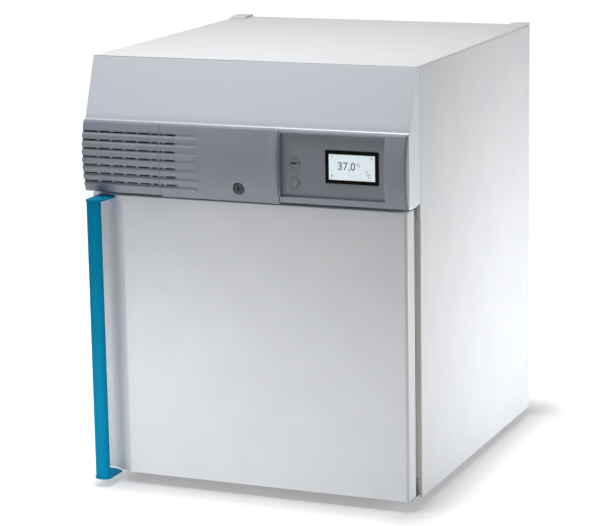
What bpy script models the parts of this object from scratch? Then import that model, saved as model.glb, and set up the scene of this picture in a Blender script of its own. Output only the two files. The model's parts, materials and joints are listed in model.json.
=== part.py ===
"""A microbiological incubator for the lab bench, about 150 litres, as an assembly of its parts.

Units are metres and +Z is up. The front faces -Y. The origin is on the floor, under the middle of the
whole outline. Depths are measured back from the door's front face, and heights up from the underside
of the housing, which stands on four rubber feet.
"""
import math

import bmesh
import bpy
from mathutils import Matrix, Vector

# How far a cutter runs past what it cuts, and the gap between parts that touch
PAST = 0.010
CLEAR = 0.0003

# Chamber, and the walls around it
CHAMBER_WIDTH = 0.535
CHAMBER_HEIGHT = 0.450
CHAMBER_DEPTH = 0.625
CHAMBER_CORNER = 0.012
LINER_SHEET = 0.001
SIDE_WALL = 0.0875
FLOOR_WALL = 0.083
CEILING_WALL = 0.075
REAR_WALL = 0.095
FRAME_SHEET = 0.002
FRAME_MARGIN = 0.001
TRAY_FLANGE = 0.020
TRAY_DROP = 0.008

# Housing
HEADER_HEIGHT = 0.2746
SHEET = 0.0012
ROOF_EDGE = 0.003
ROOF_LIP = 0.0143
FLANGE = 0.014
FOOT_HEIGHT = 0.014
FOOT_RADIUS = 0.018
FOOT_TAPER = 0.003
FOOT_EDGE = 0.0015
FOOT_INSET_X = 0.055
FOOT_INSET_Y = 0.060
LUG_WIDTH = 0.037
LUG_HEIGHT = 0.0045
LUG_LENGTH = 0.034
LUG_RAMP = 0.022
LUG_NOSE = 0.0007
LUG_EDGE = 0.0008
VENT_ROWS = 6
VENT_PITCH = 0.014
VENT_HEIGHT = 0.0034
VENT_LENGTH = 0.110
VENT_X = 0.215
VENT_DROP = 0.1126

# Door
DOOR_BOTTOM = 0.009
DOOR_SIDE_GAP = 0.004
DOOR_GAP = 0.007
DOOR_SKIN_DEPTH = 0.040
DOOR_SHEET = 0.0015
DOOR_CORNER = 0.007
GRIP_WIDTH = 0.079
GRIP_FLOOR_WIDTH = 0.033
GRIP_DEPTH = 0.022
GRIP_FILLET = 0.003
GUSSET = 0.016
GUSSET_DEPTH = 0.0176
DOOR_PAN_INSET = 0.011
DOOR_PAN_DEPTH = 0.012
PLUG_DEPTH = 0.016
PLUG_CLEAR = 0.010
PLUG_CORNER = 0.012
PAN_EDGE = 0.0015
PAN_SHEET = 0.0020
GASKET_INSET = 0.017
GASKET_WIDTH = 0.016
GASKET_THICKNESS = 0.0147
GASKET_CORNER = 0.006

# Hinges
HINGE_EDGE = 0.015
HINGE_DEPTH = 0.030
HINGE_GAP = 0.0025
PIN_RADIUS = 0.005
PIN_REACH = 0.012
BRACKET = 0.003
BRACKET_SIDE = 0.014
BRACKET_FRONT = 0.013
BRACKET_CORNER = 0.006
BRACKET_LEG = 0.036

# Handle
HANDLE_EDGE = 0.018
HANDLE_WIDTH = 0.032
HANDLE_REACH = 0.053
HANDLE_THICKNESS = 0.012
HANDLE_CROWN = 0.0025
HANDLE_CORNER = 0.0015
HANDLE_BELOW_DOOR = 0.0065
HANDLE_TOP_GAP = 0.003
END_PLATE = 0.004
END_OVERHANG = 0.0015

# Header and its convex band
BAND_HEIGHT = 0.148
BAND_EDGE = -0.0035
BAND_BULGE = 0.0115
BAND_BACK = 0.0033
BAND_WALL = 0.0025
BAND_RIM = 0.006
SLOPE_FOOT = 0.007
SLOPE_LEDGE = 0.003
HEADER_WALL = 0.003
WINDOW_MARGIN = 0.010
LOUVRE_WIDTH = 0.175
COVER_PROUD = 0.0022
COVER_DROP = 0.003
COVER_RIB = 0.008
COVER_CREST = 0.0035
COVER_STEP = 0.0005
RIB_EDGE = 0.0012
END_RADIUS = 0.006
FILTER_DEPTH = 0.008

# Louvres
LOUVRE_TOP_DROP = 0.0222
LOUVRE_FIELD = 0.1032
LOUVRE_PITCH = 0.0172
LOUVRE_GROOVE = 0.0028
LOUVRE_RUN = 0.260
GROOVE_WALL = 0.002
SLOT_HEIGHT = 0.0030
SLOT_PITCH = 0.0298
SLOT_LENGTH = 0.0240
SLOT_MARGIN = 0.003
FIRST_SLOT_LENGTH = 0.0304
SLOT_FIELD = 0.210
SEAM_LAND = 0.004

# Control recess, display, button and socket
RECESS_CHEEK = 0.0465
RECESS_WIDTH = 0.226
RECESS_RISE = 0.012
RECESS_DROP = 0.0073
CONTROL_SHEET = 0.003
DISPLAY_EDGE = 0.0155
DISPLAY_WIDTH = 0.113
DISPLAY_HEIGHT = 0.0665
DISPLAY_RISE = 0.032
DISPLAY_PROUD = 0.0015
DISPLAY_BODY = 0.012
DISPLAY_FLANGE = 0.003
SCREEN_BORDER = 0.0075
GLASS_THICKNESS = 0.001
KNOB_EDGE = 0.031
BUTTON_RISE = 0.0291
SOCKET_RISE = 0.0687
RING_RADIUS = 0.0115
RING_FLANGE = 0.001
RING_PROUD = 0.0022
RING_DEPTH = 0.008
BUTTON_RADIUS = 0.0088
BUTTON_PROUD = 0.0034
BUTTON_TRAVEL = 0.0018
SOCKET_WIDTH = 0.0122
SOCKET_OPENING = 0.0046
SOCKET_DEPTH = 0.014
SOCKET_WALL = 0.0010
BOARD_GAP = 0.0160
BOARD_THICKNESS = 0.0016
BOARD_MARGIN = 0.008
PILLAR_INSET = 0.006
PILLAR_RADIUS = 0.003

# Lock
LOCK_X = -0.005
LOCK_RISE = 0.024
LOCK_RADIUS = 0.011
LOCK_FLANGE = 0.0125
LOCK_CHAMFER = 0.0012
LOCK_SEAT = -0.0062
LOCK_FRONT = -0.0118
ROTOR_RADIUS = 0.0082
ROTOR_SET_BACK = 0.0006
KEYWAY_WIDTH = 0.0024
KEYWAY_HEIGHT = 0.009
KEYWAY_DEPTH = 0.008
CAM_DEPTH = 0.018
CAM_THICKNESS = 0.004
CAM_LENGTH = 0.036
CAM_WIDTH = 0.010
CAM_CLEAR = 0.002

# Inside the chamber
BAFFLE_SPACE = 0.054
BAFFLE_SHEET = 0.001
BAFFLE_SIDE = 0.004
BAFFLE_END = 0.010
INTAKE_PITCH = 0.011
AIR_SLOT = 0.0036
OUTLET_ROWS = 8
OUTLET_PITCH = 0.046
OUTLET_LENGTH = 0.030
OUTLET_EDGE = 0.012
FAN_RADIUS = 0.062
FAN_WIDTH = 0.020
FAN_GAP = 0.006
FAN_BLADES = 12
BLADE_SHEET = 0.0012
HUB_RADIUS = 0.012
WHEEL_SHEET = 0.0015
SHAFT_RADIUS = 0.004
SHAFT_REACH = 0.018
MOTOR_RADIUS = 0.034
MOTOR_LENGTH = 0.058
HEATER_RADIUS = 0.085
HEATER_TUBE = 0.004
PROBE_RADIUS = 0.0025
PROBE_LENGTH = 0.055
PROBE_NUT_RADIUS = 0.007
PROBE_NUT = 0.003
PROBE_DROP = 0.060
PROBE_EDGE = 0.090
RACK_PITCH = 0.075
RACK_FIRST = 0.060
RACK_HEAD = 0.085
RACK_TOP = 0.040
RACK_ROD = 0.006
RACK_RAIL = 0.015
RACK_UPRIGHT = 0.012
RACK_END = 0.030
RAIL_END = 0.004
SHELF_SHEET = 0.0012
SHELF_LIP = 0.012
SHELF_SIDE_GAP = 0.002
SHELF_FRONT_GAP = 0.020
SHELF_BACK_GAP = 0.012
SHELF_BORDER = 0.020
SHELF_COLUMNS = 7
SHELF_ROWS = 10
SHELF_SLOT = 0.007
SHELF_WEB = 0.020

# Machine space over the chamber, and the mains inlet in its rear wall
SUPPLY_X = 0.170
SUPPLY_WIDTH = 0.220
SUPPLY_DEPTH = 0.120
SUPPLY_HEIGHT = 0.055
SUPPLY_TO_BACK = 0.146
INLET_EDGE = 0.125
INLET_RISE = 0.082
INLET_HALF_X = 0.0140
INLET_HALF_Z = 0.0115
INLET_BODY = 0.022
INLET_FLANGE = 0.001
INLET_FLANGE_X = 0.0235
INLET_FLANGE_Z = 0.0135
INLET_CORNER = 0.004
INLET_CAVITY_X = 0.0120
INLET_CAVITY_Z = 0.0082
INLET_CAVITY_DEPTH = 0.0165
INLET_PIN_SPACING = 0.007
INLET_PIN_LIFT = 0.002
INLET_PIN_THICK = 0.002
INLET_PIN_WIDE = 0.004
INLET_PIN_SET_BACK = 0.003

# Widths and depths that follow
BODY_WIDTH = CHAMBER_WIDTH + 2 * SIDE_WALL
HALF = BODY_WIDTH / 2
HOUSING_FRONT = DOOR_SKIN_DEPTH + DOOR_PAN_DEPTH + GASKET_THICKNESS
ROOF_FRONT = HOUSING_FRONT - ROOF_LIP
CHAMBER_FRONT = HOUSING_FRONT + FRAME_SHEET + CLEAR
CHAMBER_BACK = CHAMBER_FRONT + CHAMBER_DEPTH
BAFFLE_FRONT = CHAMBER_BACK - BAFFLE_SPACE
DOOR_TO_BACK = CHAMBER_BACK + REAR_WALL
INSULATION_BACK = DOOR_TO_BACK - 2 * SHEET - 2 * CLEAR
FACE_Y = (HANDLE_REACH - DOOR_TO_BACK) / 2
DOOR_HALF_WIDTH = HALF - DOOR_SIDE_GAP
GRIP_FACE_X = -DOOR_HALF_WIDTH + GRIP_WIDTH
GRIP_FLOOR_X = -DOOR_HALF_WIDTH + GRIP_FLOOR_WIDTH
HANDLE_LEFT = -DOOR_HALF_WIDTH + HANDLE_EDGE
HANDLE_RIGHT = HANDLE_LEFT + HANDLE_WIDTH
HINGE_X = DOOR_HALF_WIDTH - HINGE_EDGE
LEFT_SEAM = -HALF + LOUVRE_WIDTH
LOUVRE_END = -HALF + LOUVRE_RUN
FIRST_SLOT = -HALF + SLOT_MARGIN
SLOT_END = -HALF + SLOT_FIELD
RECESS_RIGHT = HALF - RECESS_CHEEK
RECESS_LEFT = RECESS_RIGHT - RECESS_WIDTH
DISPLAY_RIGHT = RECESS_RIGHT - DISPLAY_EDGE
DISPLAY_LEFT = DISPLAY_RIGHT - DISPLAY_WIDTH
KNOB_X = RECESS_LEFT + KNOB_EDGE
BOARD_DEPTH = CONTROL_SHEET + BOARD_GAP
LOCK_TAIL = CAM_DEPTH - CAM_CLEAR
INLET_X = HALF - INLET_EDGE

# Heights that follow
CHAMBER_FLOOR = FLOOR_WALL
CHAMBER_TOP = CHAMBER_FLOOR + CHAMBER_HEIGHT
CHAMBER_MIDDLE = CHAMBER_FLOOR + CHAMBER_HEIGHT / 2
HEADER_BOTTOM = CHAMBER_TOP + CEILING_WALL
INSULATION_TOP = HEADER_BOTTOM - TRAY_DROP
BODY_HEIGHT = HEADER_BOTTOM + HEADER_HEIGHT
BAND_TOP = HEADER_BOTTOM + BAND_HEIGHT
SLOPE_FOOT_HEIGHT = BAND_TOP + SLOPE_LEDGE
LOUVRE_TOP_ROW = BAND_TOP - LOUVRE_TOP_DROP
LOUVRE_ROWS = 1 + round(LOUVRE_FIELD / LOUVRE_PITCH)
RECESS_BOTTOM = HEADER_BOTTOM + RECESS_RISE
RECESS_TOP = BAND_TOP - RECESS_DROP
DISPLAY_BOTTOM = RECESS_BOTTOM + DISPLAY_RISE
DISPLAY_TOP = DISPLAY_BOTTOM + DISPLAY_HEIGHT
BUTTON_HEIGHT = RECESS_BOTTOM + BUTTON_RISE
SOCKET_HEIGHT = RECESS_BOTTOM + SOCKET_RISE
LOCK_HEIGHT = HEADER_BOTTOM + LOCK_RISE
DOOR_TOP = HEADER_BOTTOM - DOOR_GAP
HANDLE_BOTTOM = DOOR_BOTTOM - HANDLE_BELOW_DOOR
HANDLE_TOP = DOOR_TOP - HANDLE_TOP_GAP
INLET_HEIGHT = HEADER_BOTTOM + INLET_RISE
RACK_RAILS = 1 + int((CHAMBER_HEIGHT - RACK_FIRST - RACK_HEAD) / RACK_PITCH)
SHELF_RAILS = (1, RACK_RAILS - 2)

# A depth in front of everything on the header, where its cutters start
IN_FRONT = BAND_EDGE - BAND_BULGE - COVER_PROUD - PAST

COLOURS = {
    "white_paint": ((0.80, 0.81, 0.83), 0.45, 0.0),
    "silver_grey": ((0.47, 0.49, 0.53), 0.40, 0.3),
    "band_grey": ((0.27, 0.28, 0.31), 0.45, 0.0),
    "control_grey": ((0.15, 0.16, 0.18), 0.50, 0.0),
    "black_gloss": ((0.01, 0.01, 0.012), 0.15, 0.0),
    "screen": ((0.72, 0.84, 0.88), 0.10, 0.0),
    "teal": ((0.0, 0.20, 0.36), 0.35, 0.0),
    "stainless": ((0.62, 0.62, 0.60), 0.30, 1.0),
    "zinc": ((0.55, 0.56, 0.58), 0.45, 1.0),
    "lock_chrome": ((0.32, 0.33, 0.34), 0.30, 1.0),
    "foam": ((0.82, 0.76, 0.55), 0.90, 0.0),
    "rubber": ((0.03, 0.03, 0.03), 0.80, 0.0),
    "gasket_grey": ((0.45, 0.46, 0.48), 0.70, 0.0),
    "board_green": ((0.02, 0.16, 0.07), 0.50, 0.0),
    "filter_mat": ((0.09, 0.09, 0.10), 0.95, 0.0),
}


def depth(distance):
    """World Y of a depth behind the door's front face."""
    return FACE_Y + distance


def height(distance):
    """World Z of a height above the underside of the housing."""
    return FOOT_HEIGHT + distance


def clear_scene():
    """Take out whatever the file opened with."""
    for found in list(bpy.data.objects):
        bpy.data.objects.remove(found, do_unlink=True)
    for found in list(bpy.data.collections):
        bpy.data.collections.remove(found)


def new_collection(name):
    """A collection under the scene's own."""
    made = bpy.data.collections.new(name)
    bpy.context.scene.collection.children.link(made)
    return made


def finish_of(name):
    """The Principled material with a finish's colour, roughness and metallic value."""
    if name in bpy.data.materials:
        return bpy.data.materials[name]
    colour, roughness, metallic = COLOURS[name]
    material = bpy.data.materials.new(name)
    material.use_nodes = True
    shader = material.node_tree.nodes["Principled BSDF"]
    shader.inputs["Base Color"].default_value = (*colour, 1.0)
    shader.inputs["Roughness"].default_value = roughness
    shader.inputs["Metallic"].default_value = metallic
    material.diffuse_color = (*colour, 1.0)
    return material


def add_object(name, mesh, place=(0, 0, 0), turn=(0, 0, 0)):
    """Put a mesh in the scene among the cutters, until it is named a part."""
    made = bpy.data.objects.new(name, mesh)
    made.location = place
    made.rotation_euler = turn
    CUTTERS.objects.link(made)
    made.hide_render = True
    made.display_type = "WIRE"
    return made


def part(made, finish, carrier=None):
    """Name an object a part of the incubator, give it its finish and hang it on what carries it."""
    CUTTERS.objects.unlink(made)
    PARTS.objects.link(made)
    made.hide_render = False
    made.display_type = "TEXTURED"
    made.data.materials.clear()
    made.data.materials.append(finish_of(finish))
    carrier = carrier or CABINET
    made.parent = carrier
    made.matrix_parent_inverse = Matrix.Translation(-carrier.location)
    return made


def empty(name, place):
    """An empty on a joint's axis, or at the cabinet's origin."""
    made = bpy.data.objects.new(name, None)
    made.location = place
    PARTS.objects.link(made)
    return made


def mesh_of(name, build):
    """A mesh filled by a function that works on a bmesh."""
    mesh = bpy.data.meshes.new(name)
    work = bmesh.new()
    build(work)
    work.to_mesh(mesh)
    work.free()
    return mesh


def block(name, x, y, z):
    """A box between two values on each axis, placed at its middle."""
    size = Vector((x[1] - x[0], y[1] - y[0], z[1] - z[0]))

    def build(work):
        bmesh.ops.create_cube(work, size=1.0)
        bmesh.ops.scale(work, vec=size, verts=work.verts)

    middle = ((x[0] + x[1]) / 2, (y[0] + y[1]) / 2, (z[0] + z[1]) / 2)
    return add_object(name, mesh_of(name, build), middle)


def blocks(name, boxes):
    """One cutter made of many boxes that don't touch."""

    def build(work):
        for x, y, z in boxes:
            size = Vector((x[1] - x[0], y[1] - y[0], z[1] - z[0]))
            middle = Vector(((x[0] + x[1]) / 2, (y[0] + y[1]) / 2, (z[0] + z[1]) / 2))
            cube = bmesh.ops.create_cube(work, size=1.0)["verts"]
            bmesh.ops.scale(work, vec=size, verts=cube)
            bmesh.ops.translate(work, vec=middle, verts=cube)

    return add_object(name, mesh_of(name, build))


def rod(name, radius, start, end, axis="Y", sides=32, end_radius=None):
    """A round bar between two points that differ along one axis only."""
    start = Vector(start)
    end = Vector(end)
    turn = {"X": (0, math.pi / 2, 0), "Y": (math.pi / 2, 0, 0), "Z": (0, 0, 0)}[axis]
    far = radius if end_radius is None else end_radius
    wide = (far, radius) if axis == "Y" else (radius, far)

    def build(work):
        long = (end - start).length
        bmesh.ops.create_cone(
            work, cap_ends=True, segments=sides, radius1=wide[0], radius2=wide[1], depth=long
        )

    made = add_object(name, mesh_of(name, build), (start + end) / 2, turn)
    shade_round(made)
    return made


def shade_round(made, angle=40):
    """Smooth shading with crisp edges."""
    made.data.shade_smooth()
    made.data.set_sharp_from_angle(angle=math.radians(angle))


PLANES = {
    "XY": (0, 0, 0),
    "XZ": (math.pi / 2, 0, 0),
    "YZ": (math.pi / 2, 0, math.pi / 2),
}


def outline_solid(name, loops, plane, low, high):
    """A flat outline with its holes, carried from one value to another square to its plane.

    XY outlines are carried along Z, XZ outlines along Y and YZ outlines along X.
    """
    curve = bpy.data.curves.new(name, "CURVE")
    curve.dimensions = "2D"
    curve.fill_mode = "BOTH"
    curve.extrude = (high - low) / 2
    for loop in loops:
        spline = curve.splines.new("POLY")
        spline.points.add(len(loop) - 1)
        for point, (across, up) in zip(spline.points, loop):
            point.co = (across, up, 0, 1)
        spline.use_cyclic_u = True
    middle = (low + high) / 2
    place = {"XY": (0, 0, middle), "XZ": (0, middle, 0), "YZ": (middle, 0, 0)}[plane]
    return mesh_from_curve(name, curve, place, PLANES[plane])


def mesh_from_curve(name, curve, place=(0, 0, 0), turn=(0, 0, 0)):
    """The closed mesh of a curve, with its caps welded on."""
    source = bpy.data.objects.new(name + "_curve", curve)
    CUTTERS.objects.link(source)
    bpy.context.view_layer.update()
    mesh = bpy.data.meshes.new_from_object(source.evaluated_get(bpy.context.evaluated_depsgraph_get()))
    mesh.name = name
    work = bmesh.new()
    work.from_mesh(mesh)
    bmesh.ops.remove_doubles(work, verts=work.verts, dist=0.000005)
    bmesh.ops.recalc_face_normals(work, faces=work.faces)
    work.to_mesh(mesh)
    work.free()
    bpy.data.objects.remove(source)
    bpy.data.curves.remove(curve)
    return add_object(name, mesh, place, turn)


def tube(name, points, radius, closed=False):
    """A round bar bent along a list of points."""
    curve = bpy.data.curves.new(name, "CURVE")
    curve.dimensions = "3D"
    curve.bevel_depth = radius
    curve.bevel_resolution = 2
    curve.use_fill_caps = True
    spline = curve.splines.new("POLY")
    spline.points.add(len(points) - 1)
    for point, place in zip(spline.points, points):
        point.co = (*place, 1)
    spline.use_cyclic_u = closed
    made = mesh_from_curve(name, curve)
    shade_round(made, 50)
    return made


def turned(name, profile, place, turn=(0, 0, 0), sides=32):
    """A shape turned about the local Z axis from a list of (radius, height), top to bottom."""
    mesh = bpy.data.meshes.new(name)
    edges = [(i, i + 1) for i in range(len(profile) - 1)]
    mesh.from_pydata([(radius, 0, up) for radius, up in profile], edges, [])
    made = add_object(name, mesh, place, turn)
    screw = made.modifiers.new("turn", "SCREW")
    screw.steps = sides
    screw.render_steps = sides
    screw.use_merge_vertices = True
    screw.merge_threshold = 0.00001
    screw.use_smooth_shade = True
    return made


def cut(target, *cutters):
    """Take the cutters' shapes out of a part."""
    for cutter in cutters:
        boolean = target.modifiers.new("cut " + cutter.name[:40], "BOOLEAN")
        boolean.operation = "DIFFERENCE"
        boolean.solver = "EXACT"
        boolean.object = cutter
    return target


def join(target, *others):
    """Weld other shapes to a part."""
    for other in others:
        boolean = target.modifiers.new("join " + other.name[:40], "BOOLEAN")
        boolean.operation = "UNION"
        boolean.solver = "EXACT"
        boolean.object = other
    return target


def soften(target, width, segments=2, angle=50):
    """Break a part's sharp edges."""
    bevel = target.modifiers.new("soften", "BEVEL")
    bevel.width = width
    bevel.segments = segments
    bevel.limit_method = "ANGLE"
    bevel.angle_limit = math.radians(angle)
    return target


def rounded(corners, steps=5):
    """An outline whose corners, given as (across, up, radius), are arcs tangent to their sides."""
    points = []
    count = len(corners)
    for i, (across, up, radius) in enumerate(corners):
        corner = Vector((across, up))
        before = (Vector(corners[i - 1][:2]) - corner).normalized()
        after = (Vector(corners[(i + 1) % count][:2]) - corner).normalized()
        if radius <= 0:
            points.append((across, up))
            continue
        half = before.angle(after) / 2
        centre = corner + (before + after).normalized() * (radius / math.sin(half))
        start = corner + before * (radius / math.tan(half)) - centre
        end = corner + after * (radius / math.tan(half)) - centre
        sweep = start.angle_signed(end)
        for step in range(steps + 1):
            turned_by = Matrix.Rotation(-sweep * step / steps, 2)
            point = centre + turned_by @ start
            points.append((point.x, point.y))
    return points


def rectangle(left, right, bottom, top, radius=0.0, steps=4):
    """A rectangle's outline, with rounded corners where a radius is given."""
    corners = [(left, bottom), (right, bottom), (right, top), (left, top)]
    return rounded([(x, y, radius) for x, y in corners], steps)


def circle(across, up, radius, sides=32):
    """A round outline."""
    steps = [2 * math.pi * i / sides for i in range(sides)]
    return [(across + radius * math.cos(a), up + radius * math.sin(a)) for a in steps]


def outer_housing():
    """Both sides and the roof in one folded sheet, with narrow flanges turned in at front and rear."""
    across = HALF - FLANGE
    top = BODY_HEIGHT
    shape = rounded([(-HALF, 0, 0), (HALF, 0, 0), (HALF, top, ROOF_EDGE), (-HALF, top, ROOF_EDGE)], 4)
    shape = [(x, height(z)) for x, z in shape]
    shell = outline_solid("outer_housing", [shape], "XZ", depth(ROOF_FRONT), depth(DOOR_TO_BACK))
    inside = block(
        "housing_inside",
        (-HALF + SHEET, HALF - SHEET),
        (depth(HOUSING_FRONT + SHEET), depth(DOOR_TO_BACK - SHEET)),
        (height(-PAST), height(top - SHEET)),
    )
    through = block(
        "housing_through",
        (-across, across),
        (depth(ROOF_FRONT - PAST), depth(DOOR_TO_BACK + PAST)),
        (height(-PAST), height(top - FLANGE)),
    )
    under_lip = block(
        "housing_under_lip",
        (-HALF - PAST, HALF + PAST),
        (depth(ROOF_FRONT - PAST), depth(HOUSING_FRONT)),
        (height(-PAST), height(top - SHEET)),
    )
    above_header = block(
        "housing_above_header",
        (-across, across),
        (depth(ROOF_FRONT), depth(HOUSING_FRONT + 2 * SHEET)),
        (height(top - 2 * FLANGE), height(top - SHEET)),
    )
    cut(shell, inside, through, under_lip, above_header)
    shade_round(shell)
    return part(shell, "white_paint")


def stacking_lugs():
    """A low ramp on the roof at each rear corner, where the feet of a second unit come to rest."""
    top = height(BODY_HEIGHT + CLEAR)
    back = depth(DOOR_TO_BACK)
    front = back - LUG_LENGTH - LUG_RAMP
    ramp = [(front, top), (back, top), (back, top + LUG_HEIGHT), (back - LUG_LENGTH, top + LUG_HEIGHT)]
    ramp.append((front, top + LUG_NOSE))
    for side, name in ((-1, "stacking_lug_left"), (1, "stacking_lug_right")):
        ends = sorted((side * HALF, side * (HALF - LUG_WIDTH)))
        lug = outline_solid(name, [ramp], "YZ", ends[0], ends[1])
        part(soften(lug, LUG_EDGE), "white_paint")


def base_plate():
    """A shallow sheet tray that closes the housing from below."""
    wide = HALF - SHEET - CLEAR
    front = depth(CHAMBER_FRONT)
    back = depth(DOOR_TO_BACK - SHEET - CLEAR)
    tray = block("base_plate", (-wide, wide), (front, back), (height(0), height(TRAY_FLANGE)))
    hollow = block(
        "base_plate_hollow",
        (-wide + SHEET, wide - SHEET),
        (front + SHEET, back - SHEET),
        (height(SHEET), height(TRAY_FLANGE + PAST)),
    )
    part(cut(tray, hollow), "zinc")


def feet():
    """Four low rubber feet under the corners of the base."""
    top = FOOT_HEIGHT - CLEAR
    profile = [
        (0, top),
        (FOOT_RADIUS, top),
        (FOOT_RADIUS, top - FOOT_TAPER),
        (FOOT_RADIUS - FOOT_TAPER, FOOT_EDGE),
        (FOOT_RADIUS - FOOT_TAPER - FOOT_EDGE, 0),
        (0, 0),
    ]
    places = {
        "front_left": (-HALF + FOOT_INSET_X, depth(HOUSING_FRONT + FOOT_INSET_Y)),
        "front_right": (HALF - FOOT_INSET_X, depth(HOUSING_FRONT + FOOT_INSET_Y)),
        "rear_left": (-HALF + FOOT_INSET_X, depth(DOOR_TO_BACK - FOOT_INSET_Y)),
        "rear_right": (HALF - FOOT_INSET_X, depth(DOOR_TO_BACK - FOOT_INSET_Y)),
    }
    for corner, (x, y) in places.items():
        part(turned("foot_" + corner, profile, (x, y, 0), sides=24), "rubber")


def rear_panel():
    """The flat back sheet, held behind the housing's rear flange, with vents to the machine space."""
    wide = HALF - SHEET - CLEAR
    low = TRAY_FLANGE + CLEAR
    top = BODY_HEIGHT - SHEET - CLEAR
    front = depth(DOOR_TO_BACK - 2 * SHEET - CLEAR)
    back = depth(DOOR_TO_BACK - SHEET - CLEAR)
    panel = block("rear_panel", (-wide, wide), (front, back), (height(low), height(top)))
    slots = []
    reach = (front - PAST, back + PAST)
    for side in (-1, 1):
        across = (side * VENT_X - VENT_LENGTH / 2, side * VENT_X + VENT_LENGTH / 2)
        for row in range(VENT_ROWS):
            up = height(BODY_HEIGHT - VENT_DROP + VENT_PITCH * row)
            slots.append((across, reach, (up, up + VENT_HEIGHT)))
    inlet = block(
        "rear_inlet_hole",
        (INLET_X - INLET_HALF_X - CLEAR, INLET_X + INLET_HALF_X + CLEAR),
        reach,
        (height(INLET_HEIGHT - INLET_HALF_Z - CLEAR), height(INLET_HEIGHT + INLET_HALF_Z + CLEAR)),
    )
    part(cut(panel, blocks("rear_vents", slots), inlet), "white_paint")


def mains_inlet():
    """The mains inlet in the rear panel: a flanged body with a cavity and three flat pins."""
    back = depth(DOOR_TO_BACK - SHEET - CLEAR)
    flange_front = back + CLEAR
    flange_back = flange_front + INLET_FLANGE
    up = height(INLET_HEIGHT)
    body = block(
        "mains_inlet",
        (INLET_X - INLET_HALF_X, INLET_X + INLET_HALF_X),
        (flange_back - INLET_BODY, flange_back),
        (up - INLET_HALF_Z, up + INLET_HALF_Z),
    )
    wide = rectangle(
        INLET_X - INLET_FLANGE_X,
        INLET_X + INLET_FLANGE_X,
        up - INLET_FLANGE_Z,
        up + INLET_FLANGE_Z,
        INLET_CORNER,
    )
    flange = outline_solid("inlet_flange", [wide], "XZ", flange_front, flange_back)
    left = INLET_X - INLET_CAVITY_X
    right = INLET_X + INLET_CAVITY_X
    low = up - INLET_CAVITY_Z
    top = up + INLET_CAVITY_Z
    keyed = [(left, low), (right, low), (right, top - INLET_CORNER), (right - INLET_CORNER, top)]
    keyed += [(left + INLET_CORNER, top), (left, top - INLET_CORNER)]
    floor = flange_back - INLET_CAVITY_DEPTH
    cavity = outline_solid("inlet_cavity", [keyed], "XZ", floor, flange_back + PAST)
    cut(join(body, flange), cavity)
    for name, shift, lift in (("live", -1, -1), ("earth", 0, 1), ("neutral", 1, -1)):
        middle = INLET_X + shift * INLET_PIN_SPACING
        level = up + lift * INLET_PIN_LIFT
        pin = block(
            "inlet_pin_" + name,
            (middle - INLET_PIN_THICK / 2, middle + INLET_PIN_THICK / 2),
            (floor - INLET_FLANGE, flange_back - INLET_PIN_SET_BACK),
            (level - INLET_PIN_WIDE / 2, level + INLET_PIN_WIDE / 2),
        )
        join(body, pin)
    part(body, "black_gloss")


def front_frame():
    """The flat ring between the housing and the chamber's mouth, which the door's seal closes on."""
    wide = HALF - FLANGE - CLEAR
    half = CHAMBER_WIDTH / 2
    loops = [
        rectangle(-wide, wide, height(FRAME_MARGIN), height(HEADER_BOTTOM - FRAME_MARGIN)),
        rectangle(-half, half, height(CHAMBER_FLOOR), height(CHAMBER_TOP), CHAMBER_CORNER),
    ]
    ring = outline_solid(
        "front_frame", loops, "XZ", depth(HOUSING_FRONT), depth(HOUSING_FRONT + FRAME_SHEET)
    )
    part(ring, "white_paint")


def chamber_box(name, grow, front, back):
    """The chamber's inner space, grown on every side and carried between two depths."""
    half = CHAMBER_WIDTH / 2 + grow
    shape = rectangle(
        -half, half, height(CHAMBER_FLOOR - grow), height(CHAMBER_TOP + grow), CHAMBER_CORNER + grow
    )
    return outline_solid(name, [shape], "XZ", depth(front), depth(back))


def chamber_liner():
    """The stainless chamber: five walls with rounded corners, open at the front."""
    liner = chamber_box("chamber_liner", LINER_SHEET, CHAMBER_FRONT, CHAMBER_BACK + LINER_SHEET)
    space = chamber_box("liner_space", 0, CHAMBER_FRONT - PAST, CHAMBER_BACK)
    shaft_hole = rod(
        "liner_shaft_hole",
        1.5 * SHAFT_RADIUS,
        (0, depth(CHAMBER_BACK - PAST), height(CHAMBER_MIDDLE)),
        (0, depth(CHAMBER_BACK + PAST), height(CHAMBER_MIDDLE)),
        sides=16,
    )
    cut(liner, space, shaft_hole)
    shade_round(liner)
    part(liner, "stainless")


def insulation():
    """The foam between the chamber and the housing, with a pocket at the rear for the fan motor."""
    wide = HALF - SHEET - 2 * CLEAR
    foam = block(
        "insulation",
        (-wide, wide),
        (depth(CHAMBER_FRONT), depth(INSULATION_BACK)),
        (height(TRAY_FLANGE + CLEAR), height(INSULATION_TOP)),
    )
    pocket = chamber_box(
        "insulation_pocket",
        LINER_SHEET + CLEAR,
        CHAMBER_FRONT - PAST,
        CHAMBER_BACK + LINER_SHEET + CLEAR,
    )
    motor_pocket = rod(
        "insulation_motor_pocket",
        MOTOR_RADIUS + CLEAR,
        (0, depth(CHAMBER_BACK), height(CHAMBER_MIDDLE)),
        (0, depth(DOOR_TO_BACK), height(CHAMBER_MIDDLE)),
    )
    part(cut(foam, pocket, motor_pocket), "foam")


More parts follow.
